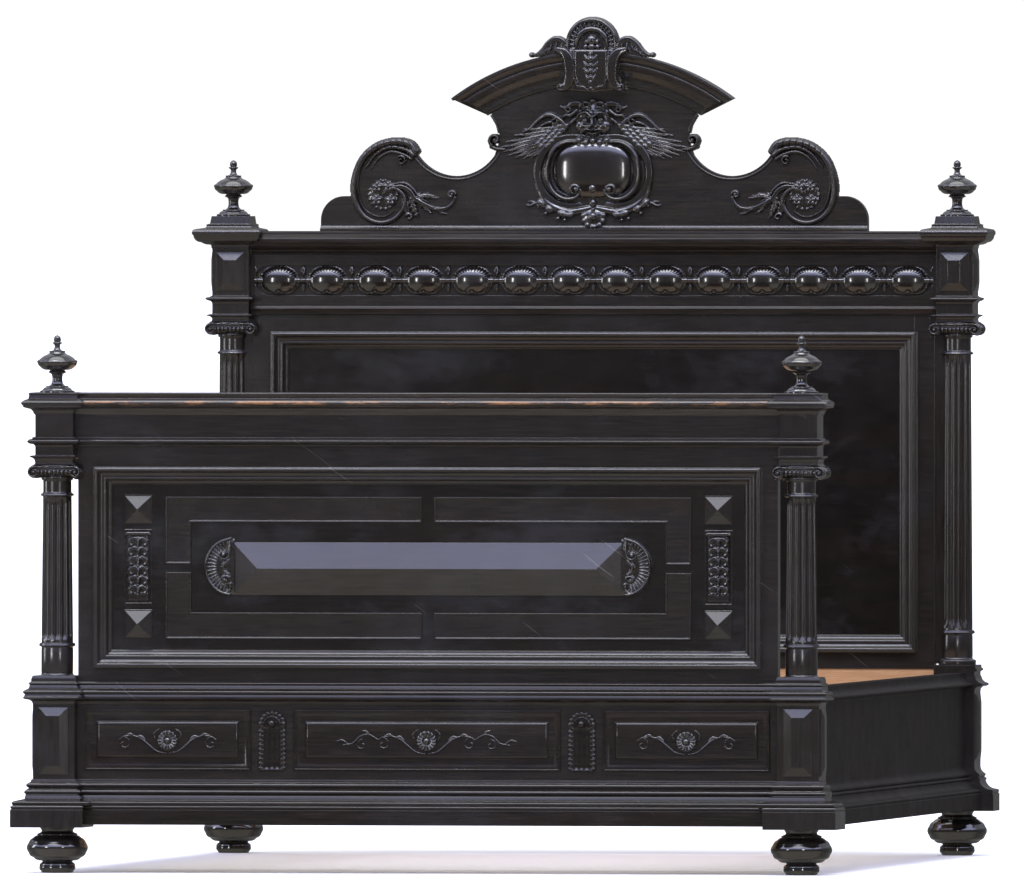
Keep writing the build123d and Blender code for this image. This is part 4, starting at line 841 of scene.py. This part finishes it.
for z, r in ((1742, 11), (1727, 8), (1714, 6.5), (1703, 5)):
    fan.dome(0, z, r, r, r * 0.8, 13)
for x, z in ((11, 1738), (13, 1727), (9, 1717)):
    fan.dome(x, z, 5.5, 6.5, 6, 12, 40)
new_piece("crest_scallop_shell", both_sides(fan.part(HEAD_Y - 28, 14)), CARVED, "crest_shell", 60)

acanthus = Relief((48, 140), (1696, 1752), 0.9)
acanthus.stroke([(55, 1722), (62, 1738), (78, 1744), (94, 1735), (106, 1721), (118, 1711), (128, 1709)],
    [6, 7, 6.5, 5, 3.5], [11, 13, 12, 10, 8], hollow=0.2)
acanthus.dome(131, 1710, 5.5, 5.5, 8, 4)
acanthus.area([(56, 1712), (60, 1736), (78, 1742), (96, 1732), (112, 1712), (110, 1701), (60, 1709)], 5, 4)
for x, z, dx, dz in ((66, 1732, 2, -18), (77, 1736, 5, -20), (88, 1733, 7, -19), (97, 1726, 8, -15),
        (106, 1718, 7, -11)):
    acanthus.stroke([(x, z), (x + dx * 0.5 - 2, z + dz * 0.5), (x + dx, z + dz)], [3, 4.4, 3.6], [10, 11, 9])
    acanthus.groove([(x, z), (x + dx, z + dz)], [0.8], [3])
new_piece("crest_acanthus_pair", both_sides(acanthus.part(HEAD_Y - 33, 14)), CARVED,
    "crest_acanthus_leaves", 60)


# Rows of radius, reach in front of the crest and the angle in degrees where the moulding ends.
ARCH_Z, ARCH_ROWS = 1206, 121
arch_steps = [(512, 28, 53.4), (511, 30, 53.4), (505, 30.5, 53.4), (504.5, 27, 53.8), (502, 24.5, 54.0),
    (498, 22, 54.3), (493.5, 20.8, 54.6), (493, 19.5, 54.8), (492.5, 22.5, 55), (490.5, 24.6, 55.3),
    (488, 25.2, 55.8), (485.5, 24.6, 56.2), (483.5, 22.5, 56.5), (483, 19, 56.7), (480, 18.8, 56.8),
    (475, 17.5, 56.9), (470, 14.5, 57), (465, 11.5, 57.3), (461, 10.5, 57.6), (460.5, 8, 57.8),
    (457.5, 8, 58), (457, 6, 58.2), (447, 6, 58.6), (446.5, 4.2, 58.5), (441.5, 4, 58.3), (440, 0.5, 58.3),
    (440, -14, 58.3), (512, -14, 53.4)]
arch = []
for share in np.linspace(-1, 1, ARCH_ROWS):
    for radius, out, end in arch_steps:
        turn = math.radians((90 - end) * share)
        arch.append((radius * math.sin(turn), CREST_FACE - out, ARCH_Z + radius * math.cos(turn)))
new_piece("crest_arch_moulding", (arch, skin(ARCH_ROWS, len(arch_steps))), CREST, "crest_arches", 30)

# Mouldings are rows of reach, height and bulge, from the bottom up.
rail_steps = [(0, 1283, 0), (4, 1283.5, 0), (5, 1287, 0.4), (4, 1289, 0), (11, 1294, -0.25), (20, 1297, 0),
    (23, 1299, 0), (34, 1306, 0.2), (38, 1313, 0.22), (34, 1320, 0.22), (29, 1322.5, 0.1), (28, 1324, 0),
    (25, 1324.5, 0), (22, 1328, -0.2), (21.5, 1331, 0.5), (19, 1333, 0), (0, 1333, 0)]
collar_steps = [(0, 1154, 0), (4, 1155, 0), (6, 1161, -0.15), (8.5, 1165, 0), (9.5, 1169, 0.45),
    (8, 1172.5, 0), (0, 1173.5, 0)]
new_piece("headboard_rail_mouldings", joined([
    rail_moulding(742, head_face, HEAD_Y + 14, rail_steps, 6),
    rail_moulding(744, head_face, head_face + 2, collar_steps, 6),
]), SHELF, "headboard_cornice", 30)
for board, y, near, far, low, high in (
    ("headboard", HEAD_Y, 726, 778, 409, 1153),
    ("footboard", FOOT_Y, 722, 748, 819, 855),
):
    for side, name in SIDES:
        part = slab(sorted((side * near, side * far)), (y - 12, y + 14), (low, high), 1.5)
        new_piece(f"{board}_stile_edge_{name}", part, UPRIGHT, None, 30)


# Footboard ornament -----------------------------------------------------------------------------

panel_front = FOOT_Y - 6
string_face = FOOT_Y - 22

shell = Relief((408, 474), (576, 700), 0.9)
shell.dome(416, 638, 54, 59, 5, 2, flat=0.3)
rim = [(416 + 52 * math.cos(turn), 638 + 57 * math.sin(turn)) for turn in np.linspace(1.35, -1.35, 18)]
shell.stroke([(416, 697), *rim, (418, 581)], [4.2], [12])
for count in range(17):
    turn = math.radians(-72 + 9 * count)
    c, s = math.cos(turn), math.sin(turn)
    shell.stroke([(416 + 30 * c, 638 + 34 * s), (416 + 47 * c, 638 + 52 * s)], [1.6, 3.6], [7, 10])
shell.stroke([(418, 690), (417, 676), (419, 664)], [4, 5, 4], [12, 13, 13])
shell.stroke(arc(431, 664, 12, 180, 520, 18, 3), [4.4, 3.2], [13, 14])
shell.dome(431, 663, 5, 5, 7, 9)
shell.stroke([(421, 652), (430, 642), (430, 630), (421, 622)], [4, 5, 5, 3.5], [11, 12, 12, 11])
shell.stroke(arc(427, 611, 9, 150, -160, 14, 3), [3.8, 3.0], [12, 13])
shell.dome(428, 611, 4, 4, 6, 8)
shell.stroke([(417, 602), (418, 590), (428, 583)], [4.4, 5, 4], [12, 12, 10])
new_piece("footboard_scallop_shells", both_sides(shell.part(panel_front)), CARVED, "footboard_shells", 60)

drop = Relief((582, 642), (565, 714), 0.9)
drop.area([(590, 567), (634, 567), (634, 704), (590, 704)], 2.2, 1.5)
drop.area([(583, 703), (641, 703), (637, 711), (587, 711)], 9, 3)
drop.stroke([(591.5, 570), (591.5, 702)], [1.8], [4.2])
drop.stroke([(632.5, 570), (632.5, 702)], [1.8], [4.2])
drop.stroke([(592, 582), (632, 582)], [1.6], [4.2])
for count in range(6):
    z = 697 - 20 * count
    for side in BOTH:
        drop.stroke([(612 + side * 2, z), (612 + side * 10, z - 1), (612 + side * 17, z - 7),
            (612 + side * 15, z - 15)], [3.2, 4.4, 4.2, 2.4], [9, 11, 11, 8], hollow=0.3)
        drop.dome(612 + side * 14, z - 14, 4.2, 3.6, 6, 4)
    drop.stroke([(612, z + 2), (612, z - 8), (612, z - 17)], [4.5, 5.5, 3.4], [8, 11, 12])
    drop.groove([(612, z), (612, z - 16)], [0.9], [3])
new_piece("footboard_husk_drops", both_sides(drop.part(panel_front)), CARVED, "footboard_leaf_drops", 60)


def rosette_relief(half_width, long_scrolls):
    """A rosette between two thin scrolled stems."""
    made = Relief((-half_width, half_width), (-30, 30), 0.8)
    made.dome(0, 0, 21.5, 21.5, 3.2, 0.6, flat=0.25)
    for count in range(16):
        turn = math.radians(22.5 * count)
        c, s = math.cos(turn), math.sin(turn)
        made.stroke([(8 * c, 8 * s), (18.5 * c, 18.5 * s)], [1.2, 3.0], [4.5, 6.5])
    made.dome(0, 0, 6.5, 6.5, 5, 3)
    made.groove(arc(0, 0, 8, 0, 360, 16), [1.0], [2])
    for _ in made.both():
        made.stroke([(4, -26), (22, -22), (38, -10), (54, 3), (68, 9), (80, 12)], [1.0, 1.7, 2.4, 1.7, 1.2],
            [1.5, 2.6, 3.2, 2.6, 2.0])
        made.stroke([(47, 2), (56, 9), (66, 8)], [1.6, 3.2, 1.0], [2.4, 3.4, 1.5])
        made.stroke([(70, 9), (78, 14), (88, 12)], [1.2, 2.6, 0.8], [2.0, 3.0, 1.2])
        made.stroke(arc(92, -6, 14, 90, 420, 20, 3), [1.0, 1.6], [1.6, 2.4])
        made.stroke([(80, 10), (92, 9), (103, 2)], [1.2, 1.0], [2.0, 1.6])
        made.stroke([(25, 4), (29, 12), (24, 20), (18, 24)], [1.2, 1.6, 1.2, 0.8], [2.0, 2.6, 2.2, 1.4])
        if long_scrolls:
            made.stroke([(103, 4), (122, 14), (140, 10), (156, -4), (176, -8)], [1.0, 1.8, 1.4, 1.0],
                [1.8, 2.6, 2.2, 1.5])
            made.stroke(arc(136, -8, 12, 90, -240, 18, 3), [1.0, 1.5], [1.6, 2.4])
            made.stroke([(120, 12), (126, 20), (136, 22)], [1.2, 2.4, 0.8], [2, 2.8, 1.2])
            made.stroke([(165, -6), (178, 2), (190, 0)], [1.0, 1.8, 0.6], [1.6, 2.4, 1.0])
    return made.part(string_face - 5.0, 0.4)


rosettes = [moved(rosette_relief(115, False), (side * 547, 0, 276)) for side in BOTH]
rosettes.append(moved(rosette_relief(200, True), (0, 0, 276)))
new_piece("footboard_rosettes_and_stems", joined(rosettes), CARVED, "footboard_dado_rosettes", 60)

bracket = Relief((-31, 31), (212, 339), 0.9)
outline = [(-25, 214), (25, 214), *arc(0, 309, 25, 0, 180, 16), (-25, 214)]
bracket.area(outline, 3.5, 3)
for _ in bracket.both():
    for count in range(10):
        bracket.dome(25, 220 + 9.6 * count, 4.2, 4.6, 2.6, 2)
        bracket.groove([(17, 220 + 9.6 * count), (27, 222 + 9.6 * count)], [0.8], [1.2])
    bracket.groove([(11, 222), (11, 300)], [4.5], [2.0])
    bracket.stroke([(5.5, 219), (5.5, 304)], [1.2], [4.8])
    bracket.stroke([(17, 219), (17, 303)], [1.2], [4.8])
bracket.groove([(0, 222), (0, 300)], [3.6], [2.0])
for x, z in arc(0, 309, 25, 6, 174, 9):
    bracket.dome(x, z, 5, 5, 3.6, 3)
bracket.stroke(arc(0, 309, 17, -10, 190, 18), [2.2], [6.5])
bracket.dome(0, 312, 9, 9, 11, 4.5)
bracket.stroke([(-24, 216), (24, 216)], [3], [4.2])
one = bracket.part(string_face)
new_piece("footboard_fluted_brackets", joined([moved(one, (side * 326.5, 0, 0)) for side in BOTH]),
    MOULDED, "footboard_dado_brackets", 60)


# Mouldings of the footboard ---------------------------------------------------------------------

base_beads = [(36, 141.5, 0), (36, 142, 0), (34.5, 150, 0.36), (30, 151, 0), (15, 154.5, 0), (13.6, 161, 0),
    (12.5, 162, 0), (11, 163, 0), (11, 174, 0.42), (7.5, 175.5, 0), (7.5, 177.5, 0), (7.5, 188, 0.45),
    (4, 189.5, 0), (3, 194, 0), (0, 196, 0)]
string_beads = [(12.8, 362, 0), (15.8, 363, 0), (15.4, 370, 0), (14, 372, 0), (14, 381, 0.45),
    (12.5, 382, 0), (7.2, 384.5, 0), (6.2, 390, 0), (5, 391.5, 0), (5, 397.5, 0.48), (3, 399, 0)]
plinth = [(0, 101, 0), (41, 101, 0), (41, 132, 0), (38, 134, 0), (37, 141, 0.4), (36, 142, 0)]
string_foot = [(0, 351, 0), (12, 361, -0.22), (12.8, 362, 0)]
run = POST_X - 43
base_rail = rail_moulding(run, string_face, string_face + 2, [*plinth, *base_beads[1:]], scale=0.88)
string = rail_moulding(run, string_face, string_face + 2, [*string_foot, *string_beads[1:], (0, 399.5, 0)])
new_piece("footboard_rail_mouldings", joined([base_rail, string]), MOULDED, "footboard_dado_mouldings", 40)
cap = [*string_beads, (3, 404, 0), (-3, 411, 0)]
beads = [post_moulding(side * POST_X, FOOT_Y, 44, steps, 30) for side in BOTH for steps in (base_beads, cap)]
new_piece("footboard_pedestal_beads", joined(beads), MOULDED, None, 40)

neck_face = FOOT_Y - 17.5
cornice = [(0, 953, 0), (3, 956, 0), (3.5, 961, 0), (13, 970, -0.2), (17, 971.5, 0), (17, 973, 0),
    (17, 985, 0.45), (14.5, 986, 0), (9.2, 988, 0), (8.4, 995.5, 0), (9, 996.5, 0), (7, 999.8, 0.35),
    (0, 1000.6, 0)]
frieze_bead = [(0, 888, 0), (3, 889, 0), (8, 893, -0.2), (9.5, 894.5, 0), (9.5, 903, 0.46), (6, 904, 0),
    (5, 905, 0), (4.5, 907.5, 0.35), (0, 908.3, 0)]
run = POST_X - 38
new_piece("footboard_cap_moulding", rail_moulding(run, neck_face, FOOT_Y + 14, cornice), HANDLED,
    "footboard_cornice", 40)
bead = rail_moulding(run, neck_face, neck_face + 2, frieze_bead)
new_piece("footboard_frieze_bead", bead, MOULDED, None, 40)
neck_cap = [(17, 968, 0), (20, 970, 0), (20.6, 972, 0), (20.6, 984, 0.42), (17.5, 985.5, 0),
    (12.5, 987.5, 0), (11, 995, 0), (12, 996.5, 0), (9, 1000.2, 0.35), (2, 1000.9, 0)]
neck_bead = [(8, 893, 0), (10.4, 894, 0), (10.4, 903, 0.46), (6, 904, 0), (5, 905, 0), (4.5, 907.5, 0.35),
    (0, 908.3, 0)]
beads = [post_moulding(side * POST_X, FOOT_Y, 39.5, steps, 30) for side in BOTH
    for steps in (neck_cap, neck_bead)]
new_piece("footboard_neck_beads", joined(beads), MOULDED, None, 40)


# Applied frames and trays on the footboard ------------------------------------------------------

bead_steps = [(0, 0), (0.2, 1.8), (1.2, 3.2), (2.4, 3.4), (3.6, 2.9), (4.3, 1.7), (4.6, 1.2), (6, 1.0)]
strips = []
for side in BOTH:
    for top, near, end in ((784, 730, 643), (487, 543, 627)):
        corners = ((12.5, top), (555, top), (555, end), (500, end), (500, near), (12.5, near))
        strips.append(trayed([(side * x, z) for x, z in corners], bead_steps, panel_front))
new_piece("footboard_border_trays", joined(strips), ACROSS, "footboard_border_strips", 30)

fillet_steps = [(0, 0), (0.3, 1.6), (1.5, 2.4), (2.8, 1.6), (3.1, 0)]
frames = []
for x in (-612, 612):
    for low, high in ((727, 788), (488, 549), (560, 716)):
        outline = box_outline(x - 29.5, x + 29.5, low, high)
        frames.append(trayed(outline, fillet_steps, panel_front, False))
new_piece("footboard_panel_beads", joined(frames), ACROSS, None, 30)

tray_steps = [(0, 0), (0.8, 4.0), (2.0, 5.2), (3.4, 5.0), (4.2, 3.8), (6.5, 3.6), (12.5, 0.8), (13.5, 0.5),
    (25, 0.5), (25.5, 0.9), (26.5, 2.2), (30.5, 5.0), (32, 5.3), (33, 5.0)]
outlines = [box_outline(*ends, 214, 342) for ends in ((-723, -371), (-282, 282), (371, 723))]
trays = [trayed(outline, tray_steps, string_face) for outline in outlines]
new_piece("footboard_dado_trays", joined(trays), MOULDED, "footboard_dado_panels", 30)


# Wood on the pieces that keep their CAD shape ---------------------------------------------------

# The first row with a word that is in the node's name counts. The empty word is in every name.
KEPT_LOOKS = (
    (("crest",), CREST),
    (("headboard_bare_boards",), TAN),
    (("slats",), SLAT),
    (("side_rail_ledges",), LEDGE),
    (("slat_tapes",), TAPE),
    (("hooks", "pins"), IRON),
    (("side_rail",), ALONG),
    (("panel_moulding",), ACROSS),
    (("board_panel",), PANEL),
    (("pedestal", "post_block", "entablature"), UPRIGHT),
    (("",), ACROSS),
)
for name, node in frame["nodes"].items():
    dress(node, next(look for words, look in KEPT_LOOKS if any(word in name for word in words)))


# Floor, light and camera ------------------------------------------------------------------------

FLOOR_REACH, FLOOR_Z = 600, -0.0005
DRUM_RADIUS, DRUM_SIDES, DRUM_Z = 590, 48, (-5, 700)


def stage_piece(name, paint, verts, faces, **look):
    """A floor or backdrop with a paint of its own."""
    mesh = bpy.data.meshes.new(name)
    mesh.from_pydata(verts, [], faces)
    mesh.materials.append(new_tree(paint).shade(**look))
    made = bpy.data.objects.new(name, mesh)
    bpy.context.scene.collection.objects.link(made)
    return made


square = ((-1, -1), (1, -1), (1, 1), (-1, 1))
floor = stage_piece(
    "floor", "pale_floor", [(x * FLOOR_REACH, y * FLOOR_REACH, FLOOR_Z) for x, y in square],
    [(0, 1, 2, 3)], Base_Color=(0.93, 0.93, 0.93, 1), Roughness=0.9, Specular_IOR_Level=0.0)
floor.visible_glossy = False
corners = arc(0, 0, DRUM_RADIUS, 0, 360, DRUM_SIDES + 1)[:-1]
backdrop = stage_piece(
    "backdrop", "white_backdrop", [(x, y, z) for z in DRUM_Z for x, y in corners],
    [*skin(2, DRUM_SIDES, "open"), tuple(range(DRUM_SIDES, 2 * DRUM_SIDES))],
    Base_Color=(0, 0, 0, 1), Emission_Color=(1, 1, 1, 1), Emission_Strength=1.02)
for use in ("diffuse", "glossy", "shadow", "transmission", "volume_scatter"):
    setattr(backdrop, f"visible_{use}", False)

world = Tree(bpy.data.worlds.new("studio"), "Generated")
bpy.context.scene.world = world.owner
ways = world.add("SeparateXYZ", "Z", {"Vector": world.coords}).node.outputs


def share_along(axis):
    """How far a direction of the world points along an axis, from 0 to 1."""
    return world.add("Math", "Value", {0: ways[axis], 1: 0.5, 2: 0.5}, operation="MULTIPLY_ADD")


height = share_along("Z")
front = world.ramp(
    height, (0.0, (0.62, 0.58, 0.50)), (0.33, (0.60, 0.56, 0.48)), (0.45, (0.16, 0.15, 0.14)),
    (0.54, (0.12, 0.12, 0.13)), (0.67, (0.20, 0.21, 0.26)), (0.74, (2.6, 2.75, 4.2)), (0.86, (2.4, 2.5, 3.6)),
    (0.93, (0.6, 0.62, 0.72)), (1.0, (0.5, 0.52, 0.58)))
rear = world.ramp(
    height, (0.0, (0.30, 0.29, 0.27)), (0.44, (0.15, 0.15, 0.15)), (0.6, (0.15, 0.15, 0.16)),
    (0.75, (0.6, 0.62, 0.7)), (1.0, (0.7, 0.72, 0.8)))
sky = world.mix(world.ramp(share_along("Y"), (0.42, 0.0), (0.62, 1.0)), front, rear)
world.put(world.nodes["Background"], {"Color": sky, "Strength": 1.0})


def stand(name, data, place, aim):
    """Puts a lamp or a camera at a place and turns it to a point."""
    made = bpy.data.objects.new(name, data)
    made.location = place
    made.rotation_mode = "QUATERNION"
    made.rotation_quaternion = (Vector(aim) - Vector(place)).to_track_quat("-Z", "Y")
    bpy.context.scene.collection.objects.link(made)
    return made


WHITE, COOL, COLD = (1, 1, 1), (0.94, 0.95, 1.0), (0.93, 0.95, 1.0)
for name, place, width, height, power, colour in (
    ("overhead_strip", (0.0, -2.7, 5.7), 5.5, 0.45, 160, COOL),
    ("left_softbox", (-3.6, -5.4, 1.5), 0.55, 1.3, 48, WHITE),
    ("right_softbox", (2.25, -6.1, 1.5), 0.55, 1.3, 34, WHITE),
    ("left_edge", (-6.2, -0.6, 1.8), 1.0, 2.6, 60, COLD),
):
    lamp = bpy.data.lights.new(name, "AREA")
    lamp.shape = "RECTANGLE"
    lamp.size, lamp.size_y = width, height
    lamp.energy = power
    lamp.color = colour
    stand(name, lamp, place, (0, 0, 0.9))
sun = bpy.data.objects.new("fill_sun", bpy.data.lights.new("fill_sun", "SUN"))
sun.data.energy = 2.3
sun.data.angle = math.radians(60)
sun.rotation_euler = (math.radians(14), 0, 0)
bpy.context.scene.collection.objects.link(sun)

AZIMUTH, ELEVATION, DISTANCE = math.radians(9.6), math.radians(0.45), 72.0
AIM = Vector((0.0, 0.0, 0.892))
level = math.cos(ELEVATION)
away = Vector((math.sin(AZIMUTH) * level, -math.cos(AZIMUTH) * level, math.sin(ELEVATION)))
camera = stand("camera", bpy.data.cameras.new("camera"), AIM + away * DISTANCE, AIM)
camera.data.lens = 1200
camera.data.sensor_width = 36
camera.data.clip_start, camera.data.clip_end = 1.0, 3000.0
bpy.context.scene.camera = camera
bpy.context.scene.view_settings.view_transform = "Standard"
